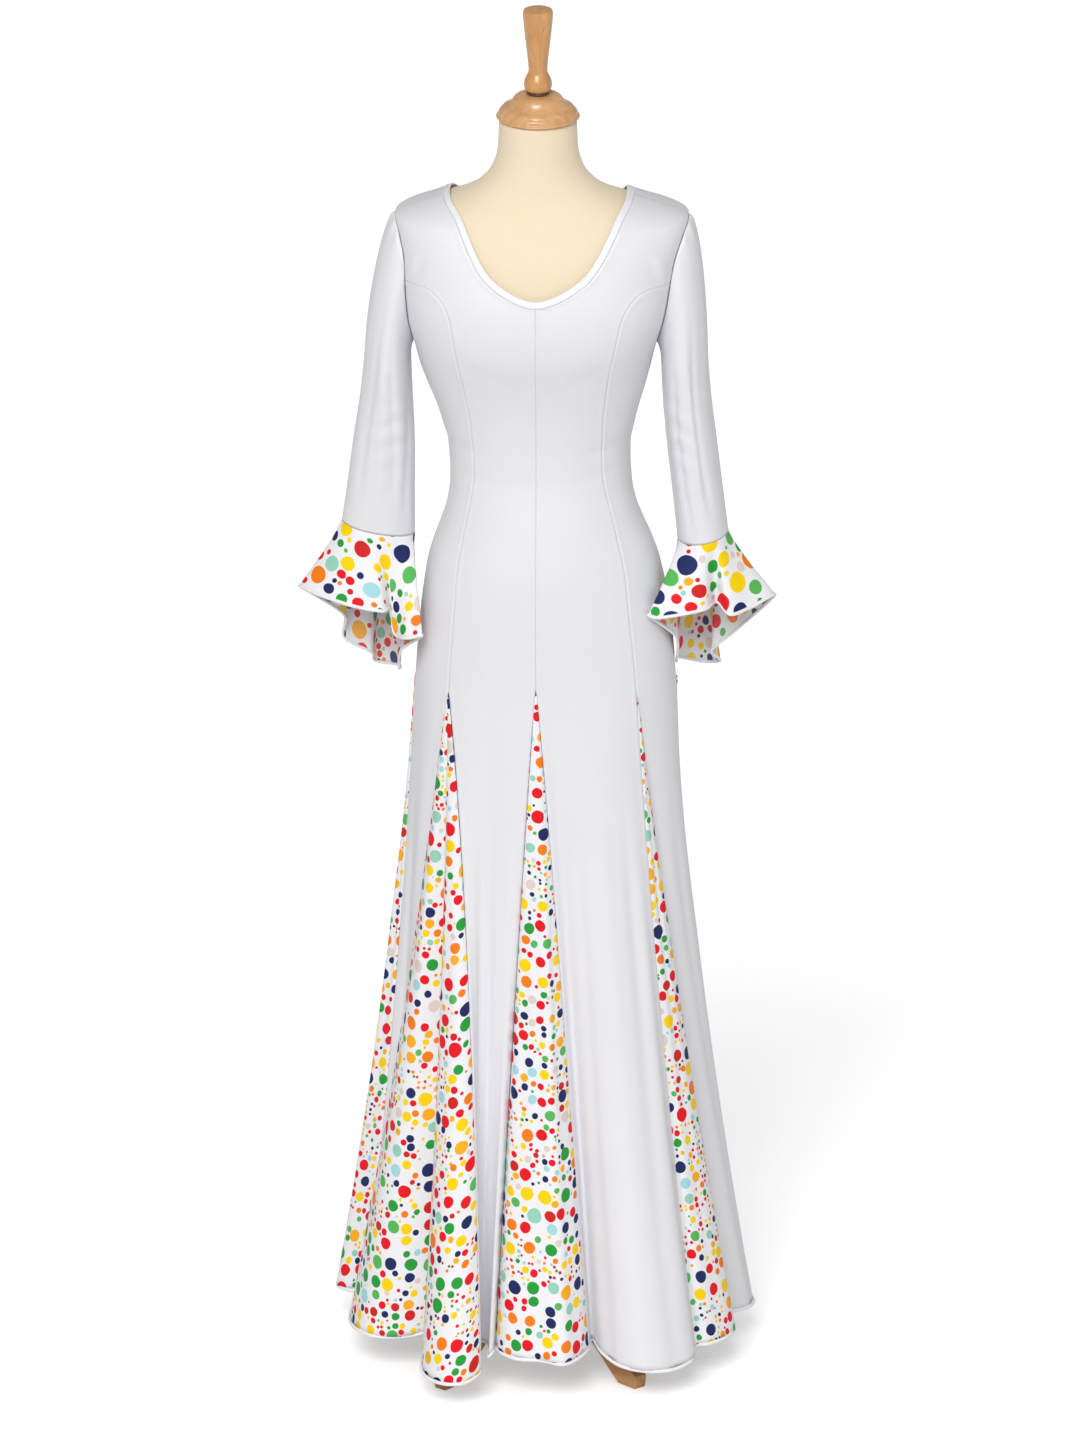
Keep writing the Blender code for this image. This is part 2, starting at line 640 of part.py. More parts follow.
def sleeveGrid(side, turns, capShares, armShares):
    """The cap curves out of the armhole, and the arm hangs straight from it."""
    sign = 1 if side == "right" else -1
    arm = np.array([armholePoint(turn) for turn in turns])
    start = bodyPoint(sign * arm[:, 0], arm[:, 1]) + (sign * seamGap, 0, 0)
    s, c = np.sin(np.radians(turns)), np.cos(np.radians(turns))
    top = sleeveSections[side][-1][0]
    end = sleeveSection(side, turns, np.full(len(turns), float(top)))
    reach = capReach * (0.35 + 0.65 * (1 + c) / 2)
    leave = reach[:, None] * np.stack([sign * (0.9 + 0.1 * c), -0.35 * s, 0 * s - 0.35], -1)
    arrive = np.linalg.norm(end - start, axis=1)[:, None] * (0, 0, -0.9)
    rows = [
        start * (2 * t**3 - 3 * t**2 + 1) + leave * (t**3 - 2 * t**2 + t)
        + end * (3 * t**2 - 2 * t**3) + arrive * (t**3 - t**2)
        for t in capShares
    ]
    low = cuffHeight(side, turns)
    rows += [sleeveSection(side, turns, top + (low - top) * t) for t in armShares]
    return np.array(rows)


def flounceGrid(side, steps, shares):
    """From the cuff out to the hem's lobes and valleys."""
    stations = np.array([row[1:] for row in flounceHems[side]], float)
    ahead = np.vstack([stations, stations[:2] + (360, 0, 0, 0)])
    before = stations[-1:] - (360, 0, 0, 0)
    curve = splineThrough(np.vstack([before, ahead]), steps)[steps : -steps - 1]
    turns = curve[:, 0]
    sign = 1 if side == "right" else -1
    top = sleeveSection(side, turns, cuffHeight(side, turns)) - (0, 0, seamGap)
    low = np.stack([sign * curve[:, 1], -curve[:, 2], curve[:, 3]], -1) * mm
    rows = []
    for share in shares:
        row = top + (low - top) * share
        row[:, :2] = top[:, :2] + (low - top)[:, :2] * share**1.15
        rows.append(row)
    return np.array(rows)


def ordered(grid, side):
    """Columns turned so that the front of the tube runs towards +X."""
    return grid[:, ::-1] if side == "right" else grid


def buildSleeve(side):
    grid = ordered(sleeveGrid(side, sleeveTurns(side), sleeveRows, armRows), side)
    build(f"sleeve_{side}", grid, gridNormals(grid, True), whiteCloth, True, ("top", "bottom"))
    grid = ordered(flounceGrid(side, 3, flounceRows), side)
    normals = gridNormals(grid, True)
    around = np.roll(grid[0], -1, 0) - np.roll(grid[0], 1, 0)
    normals[0] = unit(np.cross((0, 0, -1), around))  # the cuff's own wall is upright
    normals[1] = unit(normals[0] + 2 * normals[1])
    build(f"flounce_{side}", grid, normals, dottedCloth, True, ("top", "bottom"))
    buildEdging(f"flounce_{side}_hem_edging", grid, normals)


def buildEdging(name, grid, normals):
    """A narrow rolled edge just under a hem, made from the hem's own points."""
    fall = unit(grid[-1] - grid[-2])
    thick = edgingWidth / 2
    middle = grid[-1] - normals[-1] * clothWall / 2 + fall * (seamGap + thick)
    out = normals[-1]
    ring = [middle + fall * thick * -0.9, middle + out * thick, middle + fall * thick, middle - out * thick]
    points = np.concatenate(ring)
    count = len(middle)
    faces = [
        [
            k * count + c, (k + 1) % 4 * count + c,
            (k + 1) % 4 * count + (c + 1) % count, k * count + (c + 1) % count,
        ]
        for k in range(4) for c in range(count)
    ]
    return addMesh(name, points, faces, whiteCloth)


def formPoint(angle, height):
    """The form's skin lies a little inside the worn outline."""
    here = bodyPoint(angle, height, 0.0)
    across = bodyPoint(angle + 0.2, height, 0.0) - bodyPoint(angle - 0.2, height, 0.0)
    up = bodyPoint(angle, height + 0.3, 0.0) - bodyPoint(angle, height - 0.3, 0.0)
    return here - smoothTable(formEase)(height) * mm * unit(np.cross(across, up))


def buildTorso():
    angles = np.arange(torsoColumns) * 360 / torsoColumns
    grid = np.array([formPoint(angles, np.full(torsoColumns, float(h))) for h in torsoRows[::-1]])
    rows, columns = grid.shape[:2]
    faces = [
        [r * columns + c, (r + 1) * columns + c,
         (r + 1) * columns + (c + 1) % columns, r * columns + (c + 1) % columns]
        for r in range(rows - 1) for c in range(columns)
    ]
    faces.append(list(range(columns)))
    faces.append([(rows - 1) * columns + c for c in reversed(range(columns))])
    addMesh("form_torso", grid.reshape(-1, 3), faces, jerseyCover)


def turned(name, profile, look, steps=40):
    """A turned piece, from half its profile."""
    mesh = bpy.data.meshes.new(name)
    points = [(r * mm, 0, z * mm) for r, z in profile]
    mesh.from_pydata(points, [(i, i + 1) for i in range(len(points) - 1)], [])
    thing = bpy.data.objects.new(name, mesh)
    thing.data.materials.append(look)
    dress.objects.link(thing)
    screw = thing.modifiers.new("turn", "SCREW")
    screw.angle = math.tau
    screw.steps = steps
    screw.render_steps = steps
    screw.use_merge_vertices = True
    screw.merge_threshold = 0.00001
    screw.use_smooth_shade = True
    return thing


def buildPole():
    top = formBottom * mm - seamGap
    bottom = hubProfile[0][1] * mm + seamGap
    bpy.ops.mesh.primitive_cylinder_add(
        vertices=24, radius=poleRadius, depth=top - bottom, location=(0, 0, (top + bottom) / 2)
    )
    pole = bpy.context.object
    pole.name = "pole"
    pole.data.materials.append(darkBeech)
    for holder in list(pole.users_collection):
        holder.objects.unlink(pole)
    dress.objects.link(pole)


def buildLeg(name, angle):
    """A flat outline in the leg's own upright plane, as thick as the leg."""
    outline = bpy.data.curves.new(f"leg_{name}", "CURVE")
    outline.dimensions = "2D"
    outline.fill_mode = "BOTH"
    outline.extrude = legWidth / 2
    spline = outline.splines.new("POLY")
    spline.points.add(len(legProfile) - 1)
    for point, (reach, height) in zip(spline.points, legProfile):
        point.co = (reach * mm, height * mm, 0, 1)
    spline.use_cyclic_u = True
    leg = bpy.data.objects.new(f"leg_{name}", outline)
    leg.rotation_euler = (math.pi / 2, 0, math.radians(angle - 90))
    outline.materials.append(beechWood)
    dress.objects.link(leg)


# Building
for old in list(bpy.data.objects):
    bpy.data.objects.remove(old, do_unlink=True)

dress = makeCollection("flamenco_dress")
whiteCloth = material("white_knit", white, 0.62)
dottedCloth = material("dotted_knit", dotted, 0.62)
jerseyCover = material("form_jersey", jersey, 0.75)
beechWood = material("beech", beech, 0.3)
darkBeech = material("dark_wood", darkWood, 0.4)

allGrids, allNormals = buildSkirtAndBodice()
hemRing = np.concatenate([allGrids[row[0]][-2:, :-1] for row in hem], 1)
hemNormals = np.concatenate([allNormals[row[0]][-2:, :-1] for row in hem], 1)
buildEdging("skirt_hem_edging", hemRing, hemNormals)
buildBinding()
buildSleeve("right")
buildSleeve("left")
buildTorso()
turned("neck_cap", capProfile, beechWood)
turned("handle_ring", ringProfile, darkBeech, 32)
turned("handle", handleProfile, beechWood, 32)
buildPole()
turned("stand_hub", hubProfile, beechWood, 32)
for legName, legAngle in legAngles.items():
    buildLeg(legName, legAngle)
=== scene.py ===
import math

import bpy
import numpy as np
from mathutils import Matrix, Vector, noise


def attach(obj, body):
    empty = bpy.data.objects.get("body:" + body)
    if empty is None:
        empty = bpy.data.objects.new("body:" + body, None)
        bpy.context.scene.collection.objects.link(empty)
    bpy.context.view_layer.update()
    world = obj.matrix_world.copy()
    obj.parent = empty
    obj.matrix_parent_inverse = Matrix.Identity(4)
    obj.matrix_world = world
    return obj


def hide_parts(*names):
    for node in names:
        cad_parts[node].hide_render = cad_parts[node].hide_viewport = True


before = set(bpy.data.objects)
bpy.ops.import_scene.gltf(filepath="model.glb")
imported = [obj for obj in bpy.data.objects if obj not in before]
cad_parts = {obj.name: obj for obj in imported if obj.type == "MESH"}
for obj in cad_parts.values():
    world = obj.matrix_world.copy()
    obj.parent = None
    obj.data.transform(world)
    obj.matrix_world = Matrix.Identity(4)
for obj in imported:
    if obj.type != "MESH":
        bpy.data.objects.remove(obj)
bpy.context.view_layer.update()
print("frame loaded,", len(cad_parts), "solids")

mm = 0.001

# How finely the cloth is made and how it is sewn
cloth = {
    "wall": 1.1 * mm,
    "bodySteps": 8,        # rows between two stops of a seam
    "skirtRows": 110,
    "seamDip": 0.42 * mm,   # how far a seam sinks
    "seamWidth": 1.0 * mm,
    "ridge": 0.5 * mm,      # the turnings lift the cloth beside it
    "ridgeAway": 3.4 * mm,
    "ridgeWidth": 2.2 * mm,
    "pucker": 0.25 * mm,
    "puckerWidth": 6 * mm,
    "puckerSize": 11 * mm,
    "narrow": 14 * mm,      # a strip narrower than this has shallower seams
    "seamFade": 3 * mm,
    "edgeSteps": (0, 0.7, 1.5, 2.5, 4, 6, 9),  # mm in from a seam
}

bindingWidth = 9 * mm
seamGap = 0.4 * mm  # between two pieces

# The worn outline in level sections, mm: height, half width, front depth, back depth, squareness
bodySections = (
    (700, 168, 114, 130, 2.1),
    (800, 166, 112, 127, 2.1),
    (905, 160, 108, 122, 2.2),
    (950, 156, 109, 124, 2.2),
    (990, 151, 110, 121, 2.2),
    (1035, 143, 109, 113, 2.2),
    (1062, 135, 106.5, 107, 2.2),
    (1088, 125, 102.5, 100, 2.15),
    (1114, 116, 97.5, 93, 2.15),
    (1140, 111.5, 91.5, 87, 2.15),
    (1166, 110.7, 88, 84, 2.15),
    (1195, 112, 89, 85, 2.2),
    (1220, 118, 92, 88, 2.2),
    (1245, 125, 96, 91, 2.25),
    (1270, 133.5, 102, 95, 2.3),
    (1297, 141.5, 110, 99, 2.4),
    (1320, 147, 118, 102, 2.5),
    (1340, 153, 122.5, 104.5, 2.55),
    (1360, 159, 124, 106, 2.6),
    (1380, 163, 121.5, 107, 2.7),
    (1400, 166, 116, 107, 2.8),
    (1440, 171, 100, 103, 2.8),
    (1468, 177, 86.5, 96, 2.7),
    (1487, 180, 76, 88, 2.5),
    (1491, 176, 73.5, 86, 2.4),
    (1496, 166, 71, 83.5, 2.3),
    (1501, 152, 68.5, 80.5, 2.2),
    (1506.5, 136, 66, 77.5, 2.1),
    (1512, 119, 63.5, 73.5, 2.05),
    (1517, 102, 61.5, 70, 2),
    (1522, 90.5, 60, 67, 2),
    (1527.5, 80.5, 58.5, 64, 2),
    (1533, 74.5, 57.5, 61.5, 2),
    (1543, 64.5, 56, 58, 2),
    (1559, 57, 54, 55, 2),
    (1575, 53.7, 53, 53, 2),
    (1615, 52, 52, 52, 2),
)

# How much fuller than the left the right side hangs, mm: height, half the difference
fullerRight = (
    (905, 10), (957, 9.5), (1055, 7), (1166, 3), (1250, 0), (1320, -3), (1400, 0), (1487, 5), (1517, 0),
)

# Seams run down the body, mm: height, distance from the centre
frontPrincess = (
    (880, 117), (966, 110), (1024, 105.5), (1076, 98.5), (1133, 85), (1171, 79.5),
    (1220, 80), (1271, 85.5), (1334, 96.5), (1372, 103.3), (1388, 107.5),
)
backPrincess = (
    (880, 116), (966, 110), (1024, 104), (1076, 96), (1133, 84), (1171, 79),
    (1220, 81), (1271, 87), (1334, 99), (1372, 106), (1386, 110),
)
# The side seam, mm and degrees: height, angle from the centre front
sideSeam = ((880, 90), (1100, 90), (1180, 85), (1220, 77), (1255, 72), (1290, 76), (1322, 87))
# Where each princess seam turns into the armhole, mm: distance from the centre, height
frontTurn = ((137, 1417), (118.7, 1406), (107.5, 1388))
backTurn = ((140, 1412), (121, 1403), (110, 1386))

# The armhole seen from the side, mm
armholeMiddle = 1404.5
armholeHalfHeight = 82.5
armholeFront = 47
armholeBack = 50
armholeTurn = 83  # degrees round from the shoulder to the princess seam

# The neck opening, mm: distance from the centre, height
frontNeck = (
    (109, 1515), (104, 1510), (95, 1500), (84, 1479), (74, 1460), (57, 1437), (32, 1420),
    (11, 1411.5), (0, 1410),
)
backNeck = (
    (109, 1515), (107, 1510), (103, 1500), (94, 1487), (78, 1473), (55, 1463), (30, 1458),
    (10, 1456), (0, 1456),
)

# Rows of the body below the turn, mm: centre, princess and side seam heights
bodyRows = (
    (1385, 1366, 1283),
    (1345, 1335, 1270),
    (1300, 1295, 1252),
    (1250, 1248, 1228),
    (1206, 1206, 1200),
    (1166, 1166, 1166),
    (1112, 1112, 1112),
    (1055, 1055, 1055),
    (985, 985, 985),
)
sideTop = (1322, 1313, 1304, 1294)  # the side seam beside the turn
apexHeights = (904.5, 891, 893, 891, 900)  # front, front princess, side, back princess and back

# How the flare and the spread of the skirt grow with its drop
flareEarly = 0.65
spreadPower = 0.85

# Every piece round the hem from the front godet towards +X. Each has hem points from its
# first seam: degrees from the centre front, radius and height in mm. Its last point is the
# next piece's first
hem = (
    (
        "front_godet",
        (-19, 150, 58), (-14.5, 172, 58), (-6.5, 186, 56), (2.5, 192, 57), (10.5, 203, 55), (17.5, 187, 56),
    ),
    (
        "front_right_gore",
        (24, 164, 57), (29.5, 142, 60), (28.5, 172, 53), (30.5, 204, 46), (35.5, 231, 43), (43.5, 246, 41),
        (52, 246, 44),
    ),
    ("front_right_godet", (60, 228, 48), (64, 238, 48), (70, 249, 49), (77.5, 250, 48), (84.5, 240, 49)),
    (
        "side_front_right_gore",
        (89.5, 230, 51), (92.5, 246, 49), (97, 264, 47), (103.5, 272, 46), (110, 258, 48),
    ),
    ("side_right_godet", (114, 226, 52), (118, 244, 50), (124, 254, 49), (129, 240, 50)),
    ("side_back_right_gore", (132, 213, 52), (135.5, 191, 55), (139.5, 183, 57), (143, 194, 55)),
    ("back_right_godet", (146, 216, 53), (149, 228, 51), (154, 238, 50), (159, 230, 51)),
    ("back_right_gore", (161.5, 208, 53), (164, 190, 55), (168, 180, 57), (171.5, 196, 55)),
    ("back_godet", (173.5, 208, 53), (176, 222, 51), (181, 230, 50), (186.5, 225, 51)),
    ("back_left_gore", (190, 210, 53), (193, 194, 55), (197.5, 180, 57), (202, 190, 55)),
    ("back_left_godet", (204.5, 208, 53), (208, 228, 51), (213.5, 238, 50), (219, 230, 51)),
    ("side_back_left_gore", (222.5, 214, 53), (226, 188, 55), (230, 178, 57), (234, 196, 55)),
    ("side_left_godet", (236.5, 222, 52), (240, 244, 50), (245, 264, 47), (249.5, 268, 46), (253, 250, 48)),
    ("side_front_left_gore", (255.5, 222, 52), (258, 194, 56), (261.5, 182, 58), (265, 198, 56)),
    (
        "front_left_godet",
        (266.5, 224, 52), (275.5, 234, 48), (284.5, 232, 47), (293.5, 217, 47), (300.5, 184, 50),
        (307.5, 150, 58), (312, 168, 52), (317, 204, 42), (324, 232, 36), (332, 242, 34), (338.5, 234, 36),
    ),
    (
        "front_left_gore",
        (341.5, 208, 42), (338, 184, 48), (333.5, 160, 54), (333, 143, 58), (337, 150, 56), (340, 170, 50),
        (342, 165, 54),
    ),
)

# Sleeves, mm: height, middle, half width, half depth
sleeveSections = {
    "right": (
        (1060, 204, 32, 43), (1114, 198, 31.4, 46), (1192, 189, 31, 52), (1250, 183, 30, 57),
        (1297, 180, 29, 60),
    ),
    "left": (
        (1060, 198, 47, 32), (1114, 194, 43, 38), (1192, 189, 38, 48), (1250, 186, 32.5, 55),
        (1297, 184.5, 29, 60),
    ),
}
cuffHeights = {"right": (1077, 1068), "left": (1087, 1071)}  # outer side and inner side
capReach = 48 * mm  # how strongly the cap leaves the armhole

# Flounce hems, mm: name, degrees round from the outer side through the front, distance from
# the centre, towards the front, height
flounceHems = {
    "left": (
        ("outer tip", 0, 292, 2, 1000),
        ("outer lobe", 28, 272, 36, 1003),
        ("front lobe", 58, 228, 62, 997),
        ("front lobe", 80, 190, 68, 992),
        ("front valley", 100, 181, 40, 985),
        ("inner valley", 120, 176, 44, 955),
        ("inner lobe", 142, 160, 70, 958),
        ("inner lobe", 162, 140, 72, 962),
        ("inner valley", 185, 166, 36, 930),
        ("under lobe", 208, 170, 2, 895),
        ("under lobe", 232, 172, -38, 884),
        ("back lobe", 255, 202, -56, 883),
        ("back valley", 280, 207, -26, 905),
        ("back lobe", 305, 240, -38, 920),
        ("outer valley", 333, 240, -10, 960),
    ),
    "right": (
        ("outer tip", 0, 291, 4, 995),
        ("outer lobe", 25, 262, 42, 992),
        ("outer lobe", 46, 237, 60, 989),
        ("front valley", 66, 220, 36, 996),
        ("front lobe", 88, 208, 66, 998),
        ("front lobe", 112, 181, 77, 995),
        ("inner lobe", 138, 150, 80, 991),
        ("inner tip", 158, 138, 68, 989),
        ("inner valley", 182, 170, 34, 950),
        ("under lobe", 208, 170, -6, 905),
        ("under lobe", 234, 172, -42, 896),
        ("back lobe", 258, 200, -58, 885),
        ("back lobe", 282, 223, -42, 892),
        ("back valley", 305, 214, -16, 915),
        ("outer valley", 332, 244, -22, 940),
    ),
}

# The form and its stand
formBottom = 880
# From the form's skin out to the cloth's outer face, mm: height, ease
formEase = ((880, 8.5), (1360, 8), (1430, 7), (1470, 5.2), (1500, 5), (1560, 4.5), (1615, 4.5))
formTop = 1611.5
capProfile = (
    (0, 1642), (14, 1641.5), (24, 1640.5), (29, 1638), (32.5, 1633), (37, 1628.5), (43, 1625.5),
    (46, 1622), (48.3, 1619.5), (48.6, 1616), (47.6, 1612), (0, 1612),
)
# the dark ring under the handle is painted shade: it stands in for the shadow in the gap between handle and
# cap
ringProfile = ((0, 1645.6), (12.5, 1645.6), (14.3, 1644.8), (14.3, 1643.2), (12.5, 1642.4), (0, 1642.4))
handleProfile = (
    (0, 1750.5), (15.5, 1750.5), (18, 1749), (18.6, 1745), (18.2, 1738), (16, 1716), (13, 1690),
    (11.8, 1676), (12, 1670), (14.6, 1664.5), (17, 1658), (17, 1651.5), (13.6, 1646), (0, 1646),
)
legAngles = {"front_right": 43.5, "front_left": -38.5, "back_right": 141.5, "back_left": -136.5}
legWidth = 18 * mm
# A leg from the hub out to its foot and back under, mm: distance from the pole, height
legUpper = ((31.5, 108), (70, 98), (112, 70), (150, 38), (186, 19.5), (190, 15))
legFoot = ((190, 12), (188.6, 3), (187, 0), (157, 0))
legLower = ((146, 9), (108, 40), (68, 66), (31.5, 74))


# A function that reads a table's other columns at any value of its first, with no overshoot
def smoothTable(rows):
    table = np.array(rows, float)
    stops, values = table[:, 0], table[:, 1:]
    step = np.diff(stops)[:, None]
    slope = np.diff(values, axis=0) / step
    both = slope[:-1] * slope[1:]
    total = np.where(both > 0, slope[:-1] + slope[1:], 1)
    inner = np.where(both > 0, 2 * both / total, 0)
    tangent = np.vstack([slope[:1], inner, slope[-1:]])

    def read(at):
        at = np.clip(np.asarray(at, float), stops[0], stops[-1])
        i = np.clip(np.searchsorted(stops, at, side="right") - 1, 0, len(step) - 1)
        t = ((at - stops[i]) / step[i, 0])[..., None]
        a, b = values[i], values[i + 1]
        ta, tb = tangent[i] * step[i], tangent[i + 1] * step[i]
        return (
            a * (2 * t**3 - 3 * t**2 + 1)
            + ta * (t**3 - 2 * t**2 + t)
            + b * (3 * t**2 - 2 * t**3)
            + tb * (t**3 - t**2)
        )

    return read


bodyTable = smoothTable(bodySections)
princessTables = {"front": smoothTable(frontPrincess), "back": smoothTable(backPrincess)}
sideTable = smoothTable(sideSeam)
fullerTable = smoothTable(fullerRight)


# A point of the worn outline. Angle in degrees from the centre front, height in mm. With worn 0
# it is the even outline that fits inside, which the form has
def bodyPoint(angle, height, worn=1.0):
    halfWidth, front, back, square = np.moveaxis(bodyTable(height), -1, 0)
    s, c = np.sin(np.radians(angle)), np.cos(np.radians(angle))
    fuller = fullerTable(height)[..., 0]
    halfWidth = halfWidth + worn * np.sign(s) * fuller - (1 - worn) * np.abs(fuller)
    reach = (np.abs(s) ** square + np.abs(c) ** square) ** (-1 / square)
    depth = np.where(c > 0, front, back)
    return np.stack([halfWidth * reach * s, -depth * reach * c, height + 0 * s], -1) * mm


# The unit normal of the worn outline, pointing out
def bodyNormal(angle, height):
    angle, height = np.asarray(angle, float), np.asarray(height, float)
    across = bodyPoint(angle + 0.2, height) - bodyPoint(angle - 0.2, height)
    up = bodyPoint(angle, height + 0.3) - bodyPoint(angle, height - 0.3)
    normal = np.cross(across, up)
    return normal / np.linalg.norm(normal, axis=-1, keepdims=True)


# The angle where the outline at this height lies this far from the centre, in mm
def angleAcross(distance, height, half):
    halfWidth, front, back, square = bodyTable(height)
    share = min(distance / halfWidth, 0.9999) ** square
    angle = math.degrees(math.atan((share / (1 - share)) ** (1 / square)))
    return angle if half == "front" else 180 - angle


# Angle and height on the right armhole, turn degrees from the shoulder through the front
def armholePoint(turn):
    height = armholeMiddle + armholeHalfHeight * math.cos(math.radians(turn))
    halfWidth, front, back, square = bodyTable(height)
    depth = math.sin(math.radians(turn))
    depth *= armholeFront / front if depth > 0 else armholeBack / back
    share = min(abs(depth), 0.9999) ** square
    past = math.degrees(math.atan((share / (1 - share)) ** (1 / square)))
    return (90 - past if depth > 0 else 90 + past), height


# Points on a smooth curve through the given ones, steps to each stretch
def splineThrough(points, steps, closed=False):
    points = np.array(points, float)
    if closed:
        padded = np.vstack([points[-1:], points, points[:2]])
    else:
        padded = np.vstack([2 * points[0] - points[1], points, 2 * points[-1] - points[-2]])
    curve = []
    for a, b, c, d in zip(padded, padded[1:], padded[2:], padded[3:]):
        for t in np.arange(steps) / steps:
            curve.append(
                b + 0.5 * t * (c - a + t * (2 * a - 5 * b + 4 * c - d + t * (3 * (b - c) + d - a)))
            )
    if not closed:
        curve.append(points[-1])
    return np.array(curve)


# Points at the given shares of a curve's length
def spaced(curve, shares):
    run = np.concatenate([[0], np.cumsum(np.linalg.norm(np.diff(curve, axis=0), axis=1))])
    at = np.array(shares) * run[-1]
    return np.stack([np.interp(at, run, column) for column in curve.T], -1)


# Angle and height of the place on the outline nearest to each point
def onBody(points):
    height = points[:, 2] / mm
    halfWidth, front, back, _ = np.moveaxis(bodyTable(height), -1, 0)
    depth = np.where(points[:, 1] < 0, front, back)
    angle = np.degrees(np.arctan2(points[:, 0] / halfWidth, -points[:, 1] / depth))
    for _ in range(8):
        across = (bodyPoint(angle + 0.1, height) - bodyPoint(angle - 0.1, height)) / 0.2
        up = (bodyPoint(angle, height + 0.2) - bodyPoint(angle, height - 0.2)) / 0.4
        off = points - bodyPoint(angle, height)
        lean = (across * up).sum(-1)
        wide, tall = (across**2).sum(-1), (up**2).sum(-1)
        moveAcross, moveUp = (off * across).sum(-1), (off * up).sum(-1)
        scale = 0.8 / (wide * tall - lean**2)
        angle = angle + np.clip((moveAcross * tall - moveUp * lean) * scale, -4, 4)
        height = height + np.clip((moveUp * wide - moveAcross * lean) * scale, -4, 4)
    return np.stack([angle, height], -1)


neckRowShares = (0, 0.13, 0.27, 0.42, 0.57, 0.72, 0.86, 1)


# Angle and height along the right half of the neck, width in from the opening's edge
def neckLine(half, width, shares=neckRowShares):
    outline = splineThrough({"front": frontNeck, "back": backNeck}[half], 40)
    edge = np.array([(angleAcross(x, z, half), z) for x, z in outline])
    edge[0, 0] = 90
    edge[-1, 0] = 0 if half == "front" else 180
    points = spaced(bodyPoint(edge[:, 0], edge[:, 1]), shares)
    if width:
        along = np.gradient(points, axis=0)
        places = onBody(points)
        out = bodyNormal(places[:, 0], places[:, 1])
        aside = np.cross(along, out) * (-1 if half == "front" else 1)
        aside[0] = (1, 0, -0.3)
        aside[-1, 0] = 0
        points = points + width * aside / np.linalg.norm(aside, axis=1)[:, None]
    places = onBody(points)
    places[0, 0] = 90
    places[-1, 0] = edge[-1, 0]
    return places


turnRow = 4  # the row where the princess seam leaves the armhole


# Angle and height of a right-hand seam at every row down to its godet
def seamLine(which):
    half = "back" if which in ("back", "backPrincess") else "front"
    turns = np.linspace(0, armholeTurn, turnRow + 1)
    if which in ("front", "back"):
        top = neckLine(half, bindingWidth)
        column, angle = 0, (0 if which == "front" else 180)
        below = [(angle, row[column]) for row in bodyRows]
        apex = apexHeights[0] if which == "front" else apexHeights[4]
        return np.array([*top, *below, (angle, apex)])
    if which == "side":
        heights = [*sideTop, *(row[2] for row in bodyRows), apexHeights[2]]
        return np.array([(sideTable(z)[0], z) for z in heights])
    if half == "back":
        turns = 360 - turns
    arm = [armholePoint(turn) for turn in turns]
    bend = [(angleAcross(x, z, half), z) for x, z in (frontTurn if half == "front" else backTurn)]
    heights = [*(row[1] for row in bodyRows), apexHeights[1 if half == "front" else 3]]
    table = princessTables[half]
    below = [(angleAcross(table(z)[0], z, half), z) for z in heights]
    return np.array([*arm, *bend, *below])


seams = {name: seamLine(name) for name in ("front", "frontPrincess", "side", "backPrincess", "back")}

goreSeams = {
    "front": ("front", "frontPrincess"),
    "side_front": ("frontPrincess", "side"),
    "side_back": ("side", "backPrincess"),
    "back": ("backPrincess", "back"),
}


# Each piece's hem points, all joined in one loop
def hemLoop():
    pieces = {}
    for i, row in enumerate(hem):
        rows = np.array([*row[1:], hem[(i + 1) % len(hem)][1]], float)
        angle = np.radians(rows[:, 0])
        points = np.stack([rows[:, 1] * np.sin(angle), -rows[:, 1] * np.cos(angle), rows[:, 2]], -1) * mm
        pieces[row[0]] = points
    return pieces


hemPieces = hemLoop()
hemStations = np.concatenate([hemPieces[row[0]][:-1] for row in hem])


# From the body out to the hem: the flare starts slowly, and the cloth spreads sideways early
def flared(top, low, share):
    change = low - top
    level = (top + low)[..., :2]
    level = level / np.linalg.norm(level, axis=-1, keepdims=True)
    radial = np.zeros_like(change)
    radial[..., :2] = (change[..., :2] * level).sum(-1, keepdims=True) * level
    sideways = change - radial
    sideways[..., 2] = 0
    fall = np.zeros_like(change)
    fall[..., 2] = change[..., 2]
    grow = flareEarly * share + (1 - flareEarly) * share**2
    return top + radial * grow + sideways * share**spreadPower + fall * share


# Spreads the first rows evenly between the armhole and the fifth row, true to both seams
def easeFromArmhole(rows, shares, last):
    share = np.abs(shares - shares[0])[:, None]
    for k in range(1, last):
        even = rows[0] + (rows[last] - rows[0]) * k / last
        atFirst, atLast = rows[k, 0] - even[0], rows[k, -1] - even[-1]
        rows[k] = even + (1 - share) * atFirst + share * atLast


# The seam each godet opens, and the side it is on
godetSeams = {
    "front_godet": ("front", 1), "back_godet": ("back", 1),
    "front_right_godet": ("frontPrincess", 1), "front_left_godet": ("frontPrincess", -1),
    "side_right_godet": ("side", 1), "side_left_godet": ("side", -1),
    "back_right_godet": ("backPrincess", 1), "back_left_godet": ("backPrincess", -1),
}


# Points round the hanging sleeve, where 0 is its outer side and 90 its front
def sleeveSection(side, turns, heights):
    middle, halfWidth, halfDepth = np.moveaxis(smoothTable(sleeveSections[side])(heights), -1, 0)
    s, c = np.sin(np.radians(turns)), np.cos(np.radians(turns))
    sign = 1 if side == "right" else -1
    return np.stack([sign * (middle + halfWidth * c), -halfDepth * s, heights + 0 * s], -1) * mm


def cuffHeight(side, turns):
    outer, inner = cuffHeights[side]
    return outer + (inner - outer) * (1 - np.cos(np.radians(turns))) / 2


